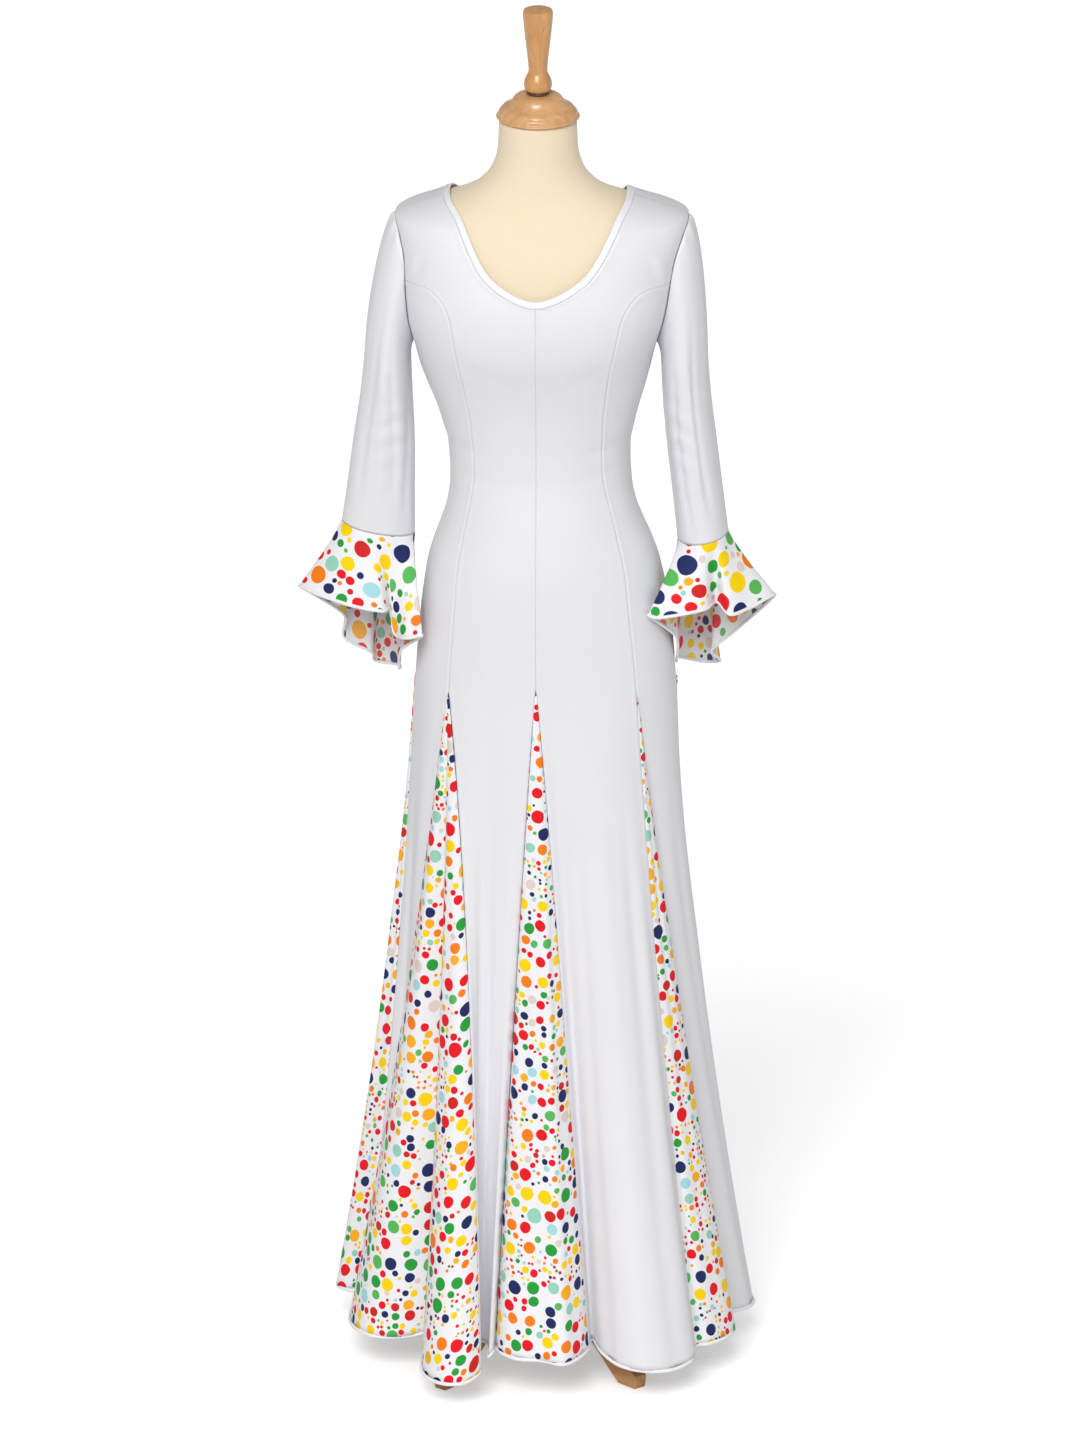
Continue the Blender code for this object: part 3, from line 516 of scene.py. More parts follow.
# The cap curves out of the armhole, and the arm hangs straight from it
def sleeveGrid(side, turns, capShares, armShares):
    sign = 1 if side == "right" else -1
    arm = np.array([armholePoint(turn) for turn in turns])
    start = bodyPoint(sign * arm[:, 0], arm[:, 1]) + (sign * seamGap, 0, 0)
    s, c = np.sin(np.radians(turns)), np.cos(np.radians(turns))
    top = sleeveSections[side][-1][0]
    end = sleeveSection(side, turns, np.full(len(turns), float(top)))
    reach = capReach * (0.35 + 0.65 * (1 + c) / 2)
    leave = reach[:, None] * np.stack([sign * (0.9 + 0.1 * c), -0.35 * s, 0 * s - 0.35], -1)
    arrive = np.linalg.norm(end - start, axis=1)[:, None] * (0, 0, -0.9)
    rows = [
        start * (2 * t**3 - 3 * t**2 + 1) + leave * (t**3 - 2 * t**2 + t)
        + end * (3 * t**2 - 2 * t**3) + arrive * (t**3 - t**2)
        for t in capShares
    ]
    low = cuffHeight(side, turns)
    rows += [sleeveSection(side, turns, top + (low - top) * t) for t in armShares]
    return np.array(rows)


# From the cuff out to the hem's lobes and valleys
def flounceGrid(side, steps, shares):
    stations = np.array([row[1:] for row in flounceHems[side]], float)
    ahead = np.vstack([stations, stations[:2] + (360, 0, 0, 0)])
    before = stations[-1:] - (360, 0, 0, 0)
    curve = splineThrough(np.vstack([before, ahead]), steps)[steps : -steps - 1]
    turns = curve[:, 0]
    sign = 1 if side == "right" else -1
    top = sleeveSection(side, turns, cuffHeight(side, turns)) - (0, 0, seamGap)
    low = np.stack([sign * curve[:, 1], -curve[:, 2], curve[:, 3]], -1) * mm
    rows = []
    for share in shares:
        row = top + (low - top) * share
        row[:, :2] = top[:, :2] + (low - top)[:, :2] * share**1.15
        rows.append(row)
    return np.array(rows)


# The form's skin lies a little inside the worn outline
def formPoint(angle, height):
    here = bodyPoint(angle, height, 0.0)
    across = bodyPoint(angle + 0.2, height, 0.0) - bodyPoint(angle - 0.2, height, 0.0)
    up = bodyPoint(angle, height + 0.3, 0.0) - bodyPoint(angle, height - 0.3, 0.0)
    return here - smoothTable(formEase)(height) * mm * unit(np.cross(across, up))


def unit(vectors):
    return vectors / np.maximum(np.linalg.norm(vectors, axis=-1, keepdims=True), 1e-9)


# Normals of a grid of points whose rows run down and whose columns run towards +X
def gridNormals(grid, closed=False):
    across = np.gradient(grid, axis=1)
    if closed:
        across = np.roll(grid, -1, 1) - np.roll(grid, 1, 1)
    return unit(np.cross(np.gradient(grid, axis=0), across))


def arcLengths(points):
    steps = np.linalg.norm(np.diff(points, axis=0), axis=-1)
    return np.concatenate([np.zeros_like(steps[:1]), np.cumsum(steps, axis=0)])


# Many small values between -1 and 1 that change smoothly over the size given
def softNoise(points, size, seed):
    shift = Vector((seed * 7.3, 0, 0))
    values = [noise.noise(Vector(p) + shift) for p in (points / size).reshape(-1, 3)]
    return np.array(values).reshape(points.shape[:-1])


# A smooth bell that is 1 in the middle and has almost gone two widths away
def hump(away, width):
    return np.exp(-((away / width) ** 2))


# An angle brought between -180 and 180 degrees
def wrapped(angle):
    return (angle + 180) % 360 - 180


def newMaterial(name):
    found = bpy.data.materials.new(name)
    found.use_nodes = True
    return found, found.node_tree, found.node_tree.nodes["Principled BSDF"]


def addNode(tree, kind, inputs=None, **settings):
    node = tree.nodes.new(kind)
    for key, value in settings.items():
        setattr(node, key, value)
    for key, value in (inputs or {}).items():
        if isinstance(value, bpy.types.NodeSocket):
            tree.links.new(value, node.inputs[key])
        else:
            node.inputs[key].default_value = value
    return node


def mathNode(tree, operation, *values):
    return addNode(tree, "ShaderNodeMath", dict(enumerate(values)), operation=operation).outputs[0]


def mixColour(tree, share, first, second, blend="MIX"):
    inputs = {0: share, 6: first, 7: second}
    return addNode(tree, "ShaderNodeMix", inputs, data_type="RGBA", blend_type=blend).outputs[2]


def noiseNode(tree, place, scale, detail, **more):
    inputs = {"Vector": place, "Scale": scale, "Detail": detail, **more}
    return addNode(tree, "ShaderNodeTexNoise", inputs).outputs


def vectorNode(tree, operation, first, second):
    return addNode(tree, "ShaderNodeVectorMath", {0: first, 1: second}, operation=operation).outputs[0]


def rangeNode(tree, value, start, end, which="To"):
    inputs = {"Value": value, f"{which} Min": start, f"{which} Max": end}
    return addNode(tree, "ShaderNodeMapRange", inputs).outputs[0]


def bumpNode(tree, height, strength, distance, invert=False, **more):
    inputs = {"Height": height, "Strength": strength, "Distance": distance, **more}
    return addNode(tree, "ShaderNodeBump", inputs, invert=invert).outputs[0]


knitFeel = {
    "loop": 1.1 * mm,  # from one loop of the knit to the next
    "loopScatter": 0.35,
    "loopStrength": 0.12,
    "loopDepth": 0.0004,
    "unevenScale": 55.0,
    "unevenStrength": 0.25,
    "unevenDepth": 0.0012,
}


# Fine loops of the knit, then the softer unevenness of the cloth
def knitBump(tree, shader):
    place = addNode(tree, "ShaderNodeTexCoord").outputs["Object"]
    inputs = {"Vector": place, "Scale": 1 / knitFeel["loop"], "Randomness": knitFeel["loopScatter"]}
    loops = addNode(tree, "ShaderNodeTexVoronoi", inputs, feature="F1").outputs["Distance"]
    uneven = noiseNode(tree, place, knitFeel["unevenScale"], 4.0, Roughness=0.55)[0]
    low = bumpNode(tree, uneven, knitFeel["unevenStrength"], knitFeel["unevenDepth"])
    fine = bumpNode(tree, loops, knitFeel["loopStrength"], knitFeel["loopDepth"], True, Normal=low)
    tree.links.new(fine, shader.inputs["Normal"])
    return place, uneven


whiteKnitLook = {
    "colour": (0.79, 0.785, 0.815, 1),
    "shade": (0.745, 0.74, 0.78, 1),
    "roughness": 0.42,
    "sheen": 0.08,
    "sheenRoughness": 0.4,
}


# Bindings and rolled edges are two layers thick; their brighter copy of the white knit is painted light, so
# the down-facing hem rolls and the binding look as bright as lit cloth
paintedBrightEdgeLook = {**whiteKnitLook, "colour": (0.87, 0.868, 0.885, 1), "shade": (0.84, 0.838, 0.86, 1)}


def makeWhiteKnit(name, look):
    found, tree, shader = newMaterial(name)
    place, uneven = knitBump(tree, shader)
    cloudy = noiseNode(tree, place, 7.0, 3.0)[0]
    tree.links.new(mixColour(tree, cloudy, look["colour"], look["shade"]), shader.inputs["Base Color"])
    rough = rangeNode(tree, uneven, look["roughness"] - 0.06, look["roughness"] + 0.08)
    tree.links.new(rough, shader.inputs["Roughness"])
    shader.inputs["Sheen Weight"].default_value = look["sheen"]
    shader.inputs["Sheen Roughness"].default_value = look["sheenRoughness"]
    return found


# The print: three sizes of dot, each kept clear of the larger ones and of its own kind
dotPrint = {
    "ground": (0.84, 0.835, 0.86, 1),
    "sizes": (  # cell mm, least and most radius as a share of the cell, share left out
        (24.0, 0.25, 0.40, 0.10),
        (13.0, 0.28, 0.43, 0.0),
        (7.2, 0.27, 0.40, 0.0),
    ),
    "inks": (  # where on the scale each ink starts, and its colour
        (0.00, (0.79, 0.010, 0.018)),
        (0.23, (0.95, 0.64, 0.004)),
        (0.40, (0.90, 0.21, 0.010)),
        (0.49, (0.93, 0.42, 0.015)),
        (0.56, (0.016, 0.026, 0.115)),
        (0.68, (0.62, 0.020, 0.018)),
        (0.73, (0.022, 0.33, 0.045)),
        (0.81, (0.10, 0.46, 0.10)),
        (0.86, (0.37, 0.66, 0.72)),
        (0.92, (0.30, 0.62, 0.48)),
        (0.96, (0.72, 0.62, 0.56)),
    ),
    "wobble": 0.9 * mm,
    "wobbleScale": 75.0,
    "scatter": 0.6,
    "apart": 0.7 * mm,
    "softEdge": 0.35 * mm,
    "leans": (6.0, 3.6, -6.0),
    "bandScale": 6.5,
    "roughness": 0.55,
    "specular": 0.12,
}


def voronoi(tree, place, cell, output, feature="F1"):
    inputs = {"Vector": place, "Scale": 1 / (cell * mm), "Randomness": dotPrint["scatter"]}
    node = addNode(tree, "ShaderNodeTexVoronoi", inputs, voronoi_dimensions="2D", feature=feature)
    return node.outputs[output]


# One size of dot: its radius in metres and whether it is printed, read at any place
def dotRadius(tree, place, index, banding):
    cell, least, most, leftOut = dotPrint["sizes"][index]
    seedColour = voronoi(tree, place, cell, "Color")
    parts = addNode(tree, "ShaderNodeSeparateColor", {"Color": seedColour})
    wanted = rangeNode(tree, parts.outputs[1], least * cell * mm, most * cell * mm)
    room = voronoi(tree, place, cell, "Radius", "N_SPHERE_RADIUS")
    room = mathNode(tree, "MULTIPLY", room, 0.95 * cell * mm)
    radius = mathNode(tree, "MINIMUM", wanted, room)
    centre = voronoi(tree, place, cell, "Position")
    band = noiseNode(tree, centre, dotPrint["bandScale"], 1.0)[0]
    # the large dots keep out of the dense bands, and the small ones crowd into them
    lean = banding * dotPrint["leans"][index]
    shift = mathNode(tree, "MULTIPLY", mathNode(tree, "SUBTRACT", 0.5, band), lean)
    chance = mathNode(tree, "ADD", parts.outputs[2], shift)
    printed = mathNode(tree, "GREATER_THAN", chance, leftOut)
    return mathNode(tree, "MULTIPLY", radius, printed), parts.outputs[0], centre


# How far a place is from the middle of the nearest dot of one size
def dotDistance(tree, place, index):
    cell = dotPrint["sizes"][index][0]
    return mathNode(tree, "MULTIPLY", voronoi(tree, place, cell, "Distance"), cell * mm)


# The print's inks side by side, each from its own start to the next one's
def inkRamp(tree, pick):
    ramp = addNode(tree, "ShaderNodeValToRGB", {"Fac": pick})
    ramp.color_ramp.interpolation = "CONSTANT"
    inks = ramp.color_ramp.elements
    while len(inks) > 1:
        inks.remove(inks[-1])
    inks[0].color = (*dotPrint["inks"][0][1], 1)
    for at, ink in dotPrint["inks"][1:]:
        inks.new(at).color = (*ink, 1)
    return ramp.outputs[0]


def makeDottedKnit(name, scale=1.0, fade=0.0, banding=1.0):
    found, tree, shader = newMaterial(name)
    knitBump(tree, shader)
    cut = addNode(tree, "ShaderNodeUVMap", uv_map="cut").outputs[0]
    cut = vectorNode(tree, "MULTIPLY", cut, (1 / scale,) * 3)
    shake = noiseNode(tree, cut, dotPrint["wobbleScale"], 0.0)["Color"]
    shake = vectorNode(tree, "ADD", shake, (-0.5, -0.5, -0.5))
    shake = vectorNode(tree, "MULTIPLY", shake, (2 * dotPrint["wobble"],) * 3)
    cut = vectorNode(tree, "ADD", cut, shake)
    layers = []
    for index in range(len(dotPrint["sizes"])):
        radius, pick, centre = dotRadius(tree, cut, index, banding)
        away = dotDistance(tree, cut, index)
        for larger in range(index):
            other, _, _ = dotRadius(tree, centre, larger, banding)
            gap = mathNode(tree, "SUBTRACT", dotDistance(tree, centre, larger), other)
            needed = mathNode(tree, "ADD", radius, dotPrint["apart"])
            clear = mathNode(tree, "SUBTRACT", gap, needed)
            radius = mathNode(tree, "MULTIPLY", radius, mathNode(tree, "GREATER_THAN", clear, 0.0))
        edge = mathNode(tree, "SUBTRACT", radius, away)
        layers.append((rangeNode(tree, edge, 0.0, dotPrint["softEdge"], "From"), pick))
    colour = dotPrint["ground"]
    for mask, pick in reversed(layers):
        colour = mixColour(tree, mask, colour, inkRamp(tree, pick))
    if fade:
        colour = mixColour(tree, fade, colour, dotPrint["ground"])
    tree.links.new(colour, shader.inputs["Base Color"])
    shader.inputs["Roughness"].default_value = dotPrint["roughness"]
    shader.inputs["Specular IOR Level"].default_value = dotPrint["specular"]
    return found


jerseyLook = {
    "colour": (0.90, 0.78, 0.575, 1),
    "shade": (0.84, 0.70, 0.49, 1),
    "fleck": (0.70, 0.55, 0.36, 1),
    "fleckShare": 0.18,
    "roughness": 0.8,
    "rib": 1.3 * mm,
    "sheen": 0.25,
}


def makeJersey():
    look = jerseyLook
    found, tree, shader = newMaterial("creamJersey")
    place = addNode(tree, "ShaderNodeTexCoord").outputs["Object"]
    cloudy = noiseNode(tree, place, 9.0, 5.0, Roughness=0.6)[0]
    flecks = noiseNode(tree, place, 420.0, 2.0)[0]
    colour = mixColour(tree, cloudy, look["colour"], look["shade"])
    flecks = mathNode(tree, "MULTIPLY", flecks, look["fleckShare"])
    tree.links.new(mixColour(tree, flecks, colour, look["fleck"]), shader.inputs["Base Color"])
    inputs = {"Vector": place, "Scale": 1 / look["rib"], "Randomness": 0.4}
    loops = addNode(tree, "ShaderNodeTexVoronoi", inputs).outputs["Distance"]
    tree.links.new(bumpNode(tree, loops, 0.3, 0.0005, True), shader.inputs["Normal"])
    shader.inputs["Roughness"].default_value = look["roughness"]
    shader.inputs["Sheen Weight"].default_value = look["sheen"]
    return found


beechLook = {
    "light": (0.72, 0.375, 0.135, 1),
    "dark": (0.50, 0.22, 0.062, 1),
    "fleck": (0.30, 0.13, 0.045, 1),
    "fleckShare": 0.55,
    "varnish": 0.5,
    "varnishRoughness": 0.15,
    "acrossGrain": 16.0,
    "alongGrain": 1.6,
}


# Beech with its grain along the axis given, small dark flecks and a varnish
def makeBeech(name, along, light=beechLook["light"], dark=beechLook["dark"]):
    look = beechLook
    found, tree, shader = newMaterial(name)
    place = addNode(tree, "ShaderNodeTexCoord").outputs["Object"]
    stretch = [look["acrossGrain"]] * 3
    stretch[along] = look["alongGrain"]
    grained = vectorNode(tree, "MULTIPLY", place, stretch)
    rings = noiseNode(tree, grained, 3.4, 6.0, Roughness=0.62, Distortion=0.8)[0]
    flecks = noiseNode(tree, grained, 42.0, 2.0)[0]
    colour = mixColour(tree, rangeNode(tree, rings, 0.32, 0.68, "From"), light, dark)
    fleckMask = rangeNode(tree, flecks, 0.62, 0.74, "From")
    fleckMask = mathNode(tree, "MULTIPLY", fleckMask, look["fleckShare"])
    tree.links.new(mixColour(tree, fleckMask, colour, look["fleck"]), shader.inputs["Base Color"])
    tree.links.new(bumpNode(tree, flecks, 0.12, 0.0004), shader.inputs["Normal"])
    tree.links.new(rangeNode(tree, rings, 0.24, 0.38), shader.inputs["Roughness"])
    shader.inputs["Coat Weight"].default_value = look["varnish"]
    shader.inputs["Coat Roughness"].default_value = look["varnishRoughness"]
    return found


whiteKnit = makeWhiteKnit("whiteKnit", whiteKnitLook)
# a brighter copy of the white knit: painted light for the bindings, stitches and hem rolls
paintedBrightEdge = makeWhiteKnit("paintedBrightEdge", paintedBrightEdgeLook)
dottedKnit = makeDottedKnit("dottedKnit")
dottedReverse = makeDottedKnit("dottedKnitReverse", fade=0.15)
cuffKnit = makeDottedKnit("cuffDottedKnit", 1.4, 0, 0.2)
cuffReverse = makeDottedKnit("cuffDottedKnitReverse", 1.4, 0.08, 0.2)
creamJersey = makeJersey()
capBeech = makeBeech("capBeech", 2, (0.80, 0.47, 0.215, 1), (0.60, 0.30, 0.115, 1))
handleBeech = makeBeech("handleBeech", 2)
legBeech = makeBeech("legBeech", 0)
# dark stained wood for the pole, and painted shade on the ring that fills the gap between handle and cap
darkWoodAndGapShade = makeBeech("darkStainedWoodAndGapShade", 2, (0.10, 0.05, 0.025, 1), (0.05, 0.025, 0.012, 1))
print("materials made")


# A mesh from points and four-cornered faces, with an optional flat-cut map and a second material
def addPiece(name, points, faces, looks, cutPlaces=None, second=None):
    mesh = bpy.data.meshes.new(name)
    mesh.from_pydata(points.tolist(), [], [list(face) for face in faces])
    for look in looks:
        mesh.materials.append(look)
    if second is not None:
        mesh.polygons.foreach_set("material_index", np.asarray(second, np.int32))
    if cutPlaces is not None:
        layer = mesh.uv_layers.new(name="cut")
        corners = np.empty(len(mesh.loops), np.int32)
        mesh.loops.foreach_get("vertex_index", corners)
        layer.data.foreach_set("uv", cutPlaces[corners].astype(np.float32).ravel())
    mesh.shade_smooth()
    mesh.update()
    piece = bpy.data.objects.new(name, mesh)
    bpy.context.scene.collection.objects.link(piece)
    return piece


# A thin shell of cloth under a grid of outer points
def clothShell(name, outer, looks, cutPlaces=None, closed=False, wall=cloth["wall"]):
    rows, columns = outer.shape[:2]
    inner = outer - gridNormals(outer, closed) * wall
    index = np.arange(rows * columns).reshape(rows, columns)
    nextColumn = np.roll(index, -1, 1) if closed else index[:, 1:]
    here = index if closed else index[:, :-1]
    quads = np.stack([here[:-1], here[1:], nextColumn[1:], nextColumn[:-1]], -1).reshape(-1, 4)
    under = rows * columns
    insideQuads = quads[:, ::-1] + under
    top = np.stack([here[0], nextColumn[0], nextColumn[0] + under, here[0] + under], -1)
    bottom = np.stack([nextColumn[-1], here[-1], here[-1] + under, nextColumn[-1] + under], -1)
    rims = [top, bottom]
    if not closed:
        first, last = index[:, 0], index[:, -1]
        rims.append(np.stack([first[1:], first[:-1], first[:-1] + under, first[1:] + under], -1))
        rims.append(np.stack([last[:-1], last[1:], last[1:] + under, last[:-1] + under], -1))
    faces = np.concatenate([quads, insideQuads, *rims])
    second = np.zeros(len(faces), int)
    if len(looks) > 1:
        second[len(quads) : 2 * len(quads)] = 1
    points = np.concatenate([outer.reshape(-1, 3), inner.reshape(-1, 3)])
    places = None if cutPlaces is None else np.concatenate([cutPlaces.reshape(-1, 2)] * 2)
    piece = addPiece(name, points, faces, looks, places, second)
    smooth = np.ones(len(faces), bool)
    smooth[2 * len(quads) :] = False  # a cut edge keeps its corner
    piece.data.polygons.foreach_set("use_smooth", smooth)
    return piece


# A rolled edge along a closed line: an oval tube that leans with the cloth
def rolledEdge(name, line, fall, out, tall, thick, look, ring=10):
    angles = np.arange(ring) * 2 * math.pi / ring
    uneven = 1 + 0.10 * softNoise(line, 0.012, 3)[:, None]
    grid = np.array([
        line + fall * (math.cos(a) * tall / 2) * uneven + out * (math.sin(a) * thick / 2) * uneven
        for a in angles
    ])
    index = np.arange(ring * len(line)).reshape(ring, len(line))
    nextRow, nextColumn = np.roll(index, -1, 0), np.roll(index, -1, 1)
    faces = np.stack([index, nextRow, np.roll(nextRow, -1, 1), nextColumn], -1).reshape(-1, 4)
    return addPiece(name, grid.reshape(-1, 3), faces, [look])


# Faces between the level rings of a closed grid, and a flat one at each end
def cappedFaces(grid):
    rows, columns = grid.shape[:2]
    index = np.arange(rows * columns).reshape(rows, columns)
    ahead = np.roll(index, -1, 1)
    faces = np.stack([index[:-1], index[1:], ahead[1:], ahead[:-1]], -1).reshape(-1, 4).tolist()
    return [*faces, index[0].tolist(), index[-1][::-1].tolist()]


fineSteps = cloth["bodySteps"]
godetLead = 40  # body rows above a godet that its join is eased into


# Angle and height along a seam at every fine row
def fineSeam(which):
    stops = seams[which]
    if which == "side":
        return splineThrough(stops, fineSteps)
    if which in ("front", "back"):
        count = len(neckRowShares)
        shares = np.interp(np.arange((count - 1) * fineSteps) / fineSteps, range(count), neckRowShares)
        neck = neckLine(which, bindingWidth, (*shares, 1))[:-1]
        return np.vstack([neck, splineThrough(stops[count - 1 :], fineSteps)])
    turns = np.linspace(0, armholeTurn, turnRow * fineSteps + 1)[:-1]
    if which == "backPrincess":
        turns = 360 - turns
    arm = np.array([armholePoint(turn) for turn in turns])
    return np.vstack([arm, splineThrough(stops[turnRow:], fineSteps)])


fineSeams = {name: fineSeam(name) for name in seams}


# The hem as one smooth closed line, cut up into each piece's own stretch
def fineHem(steps=10):
    loop = splineThrough(hemStations, steps, closed=True)
    pieces, start = {}, 0
    for row in hem:
        count = (len(hemPieces[row[0]]) - 1) * steps
        at = np.arange(start, start + count + 1) % len(loop)
        start += count
        line = loop[at]
        run = arcLengths(line)
        pieces[row[0]] = line, run / run[-1]
    return pieces


fineHems = fineHem()
skirtShares = np.arange(1, cloth["skirtRows"] + 1) / cloth["skirtRows"]


# Rounds off the change of slope where the skirt leaves the body, in and out only
def easeJoin(grid, join, reach=16):
    half, spread = 12, 4.5  # rows
    kernel = np.exp(-0.5 * (np.arange(-half, half + 1) / spread) ** 2)
    kernel /= kernel.sum()
    outwards = unit(grid[join] * (1, 1, 0))
    soft = grid.copy()
    for row in range(max(join - reach, half), join + reach):
        share = math.cos(0.5 * math.pi * (row - join) / reach) ** 2
        near = (grid[row - half : row + half + 1] * kernel[:, None, None]).sum(0) - grid[row]
        soft[row] += share * (near * outwards).sum(-1, keepdims=True) * outwards
    return soft


def fineGore(name):
    kind, side = name.rsplit("_", 2)[:2]
    low, shares = fineHems[name]
    a, b = (fineSeams[seam] for seam in goreSeams[kind])
    if kind == "side_front":
        a = a[turnRow * fineSteps :]
    if kind == "side_back":
        b = b[turnRow * fineSteps :]
    if side == "left":
        shares = 1 - shares
    rows = a[:, None] + (b - a)[:, None] * shares[None, :, None]
    if kind in ("side_front", "side_back"):
        ends = (armholeTurn, 180) if kind == "side_front" else (180, 360 - armholeTurn)
        rows[0] = [armholePoint(ends[0] + (ends[1] - ends[0]) * t) for t in shares]
        easeFromArmhole(rows, shares, turnRow * fineSteps)
    if side == "left":
        rows[..., 0] *= -1
    body = bodyPoint(rows[..., 0], rows[..., 1])
    grid = np.concatenate([body, [flared(body[-1], low, share) for share in skirtShares]])
    return easeJoin(grid, len(body) - 1), len(body)


def fineGodet(name):
    low, _ = fineHems[name]
    seam, side = godetSeams[name]
    line = (fineSeams[seam] * (side, 1))[-godetLead:]
    body = np.repeat(bodyPoint(line[:, 0], line[:, 1])[:, None], len(low), 1)
    grid = np.concatenate([body, [flared(body[-1], low, share) for share in skirtShares]])
    return easeJoin(grid, len(body) - 1)[len(body) :]


# The same rows with columns close together beside the seams and evenly spread between them
def respaced(grid, middle):
    edges = np.array(cloth["edgeSteps"]) * mm
    out = []
    for row in grid:
        run = arcLengths(row)
        wide = run[-1]
        near = edges * min(1, wide / (5 * edges[-1]))
        between = np.linspace(near[-1], wide - near[-1], middle + 2)[1:-1]
        at = np.concatenate([near, between, wide - near[::-1]])
        out.append(np.stack([np.interp(at, run, column) for column in row.T], -1))
    return np.array(out)


# Creases given one by one, mm: where one starts and ends (across, height), width, depth; a ridge is above 0
frontCreases = (
    ((143, 1459), (163, 1420), 5.0, 1.5),
    ((136, 1452), (152, 1418), 6.0, -1.6),
    ((-146, 1456), (-160, 1424), 5.0, 1.3),
    ((-138, 1450), (-152, 1420), 6.0, -1.4),
    ((119, 1398), (156, 1403), 4.5, -1.5),
    ((124, 1388), (153, 1390), 4.5, -1.2),
    ((-120, 1396), (-152, 1402), 4.5, -1.3),
    ((-40, 1302), (-96, 1326), 9.0, -0.9),
    ((38, 1300), (92, 1322), 9.0, -0.9),
    ((104, 1208), (58, 1196), 8.0, -0.9),
    ((-106, 1202), (-60, 1192), 8.0, -0.9),
    ((108, 1176), (62, 1172), 7.0, -0.8),
    ((-108, 1168), (-50, 1160), 8.0, -0.8),
    ((112, 1140), (66, 1148), 8.0, -0.7),
    ((-112, 1134), (-70, 1144), 8.0, -0.8),
    ((-128, 1084), (-90, 1094), 10.0, -0.8),
    ((128, 1080), (92, 1092), 10.0, -0.8),
)
backCreases = (
    ((140, 1452), (158, 1416), 6.0, 1.4),
    ((-140, 1452), (-158, 1416), 6.0, 1.4),
    ((100, 1200), (40, 1186), 9.0, -1.4),
    ((-100, 1196), (-44, 1184), 9.0, -1.4),
    ((96, 1172), (30, 1166), 8.0, -1.3),
    ((-98, 1166), (-36, 1162), 8.0, -1.3),
    ((92, 1146), (36, 1142), 9.0, -1.1),
    ((-94, 1142), (-40, 1138), 9.0, -1.1),
    ((110, 1340), (60, 1290), 10.0, -1.0),
    ((-110, 1340), (-60, 1290), 10.0, -1.0),
)


def creaseDepth(grid):
    total = np.zeros(grid.shape[:2])
    for sign, creases in ((-1, frontCreases), (1, backCreases)):
        facing = np.clip(sign * grid[..., 1] / (20 * mm), 0, 1)
        for start, end, width, depth in creases:
            a, b = np.array(start) * mm, np.array(end) * mm
            flat = grid[..., [0, 2]] - a
            along = np.clip((flat @ (b - a)) / ((b - a) @ (b - a)), 0, 1)
            away = np.linalg.norm(flat - along[..., None] * (b - a), axis=-1)
            fade = np.sin(math.pi * np.clip(along, 0.04, 0.96)) ** 0.7
            total += depth * mm * hump(away, width * mm) * fade * facing
    return total


# Long soft troughs down the skirt: share across the piece, width as a share, depth in mm, and the
# share of the drop where each begins
skirtTroughs = {
    "front_right_gore": (
        (0.30, 0.05, -2.5, 0.15), (0.52, 0.07, 1.8, 0.05), (0.74, 0.06, -3.0, 0.1), (0.88, 0.05, 1.6, 0.3),
    ),
    "front_left_gore": ((0.30, 0.08, -2.5, 0.1), (0.55, 0.08, 2.0, 0.2), (0.78, 0.07, -2.0, 0.1)),
    "side_front_right_gore": ((0.4, 0.1, -2.5, 0.1), (0.7, 0.1, 2.0, 0.3)),
    "side_front_left_gore": ((0.35, 0.1, -2.5, 0.1), (0.65, 0.1, 2.0, 0.2)),
    "front_godet": ((0.30, 0.08, -2.0, 0.3), (0.55, 0.1, 1.8, 0.2), (0.8, 0.08, -1.8, 0.35)),
    "front_left_godet": ((0.16, 0.05, -2.5, 0.3), (0.34, 0.06, 2.0, 0.25), (0.78, 0.06, -2.4, 0.3)),
}
plainTroughs = ((0.3, 0.09, -2.4, 0.12), (0.6, 0.08, 1.8, 0.25), (0.82, 0.07, -1.8, 0.2))


def troughDepth(name, grid, skirtStart):
    rows, columns = grid.shape[:2]
    run = arcLengths(grid.swapaxes(0, 1))
    across = (run / run[-1]).T
    down = np.clip((np.arange(rows) - skirtStart) / (rows - skirtStart), 0, 1)[:, None]
    total = np.zeros((rows, columns))
    for at, width, depth, begins in skirtTroughs.get(name, plainTroughs):
        wander = at + 0.02 * np.sin(5 * down + 9 * at)
        grow = np.clip((down - begins * 0.5) / 0.25, 0, 1) ** 2
        total += depth * mm * hump(across - wander, width) * grow
    return total


# Seams sink a little and pucker beside their stitches
def seamDepth(grid, sides):
    depth = np.zeros(grid.shape[:2])
    run = arcLengths(grid.swapaxes(0, 1)).T
    for side in sides:
        away = run if side == "first" else run[:, -1:] - run
        line = grid[:, 0] if side == "first" else grid[:, -1]
        away = away + cloth["seamFade"] * (1 - np.clip(run[:, -1:] / cloth["narrow"], 0, 1))
        tug = softNoise(line, cloth["puckerSize"], 1)[:, None]
        depth -= cloth["seamDip"] * hump(away, cloth["seamWidth"])
        depth += cloth["ridge"] * hump(away - cloth["ridgeAway"], cloth["ridgeWidth"])
        depth += cloth["pucker"] * tug * hump(away, cloth["puckerWidth"])
    return depth


# Width across and length down in the flat, measured on the cloth itself
def flatPlaces(grid, shift):
    middle = grid.shape[1] // 2
    down = arcLengths(grid[:, middle])
    run = arcLengths(grid.swapaxes(0, 1)).T
    across = run - run[:, middle : middle + 1]
    return np.stack([across + shift[0], down[:, None] + 0 * across + shift[1]], -1)


def declareSheet(piece, node):
    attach(piece, "root")
    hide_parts(node)


def showName(node):
    parts = node.split("_")
    return parts[0] + "".join(part.capitalize() for part in parts[1:])


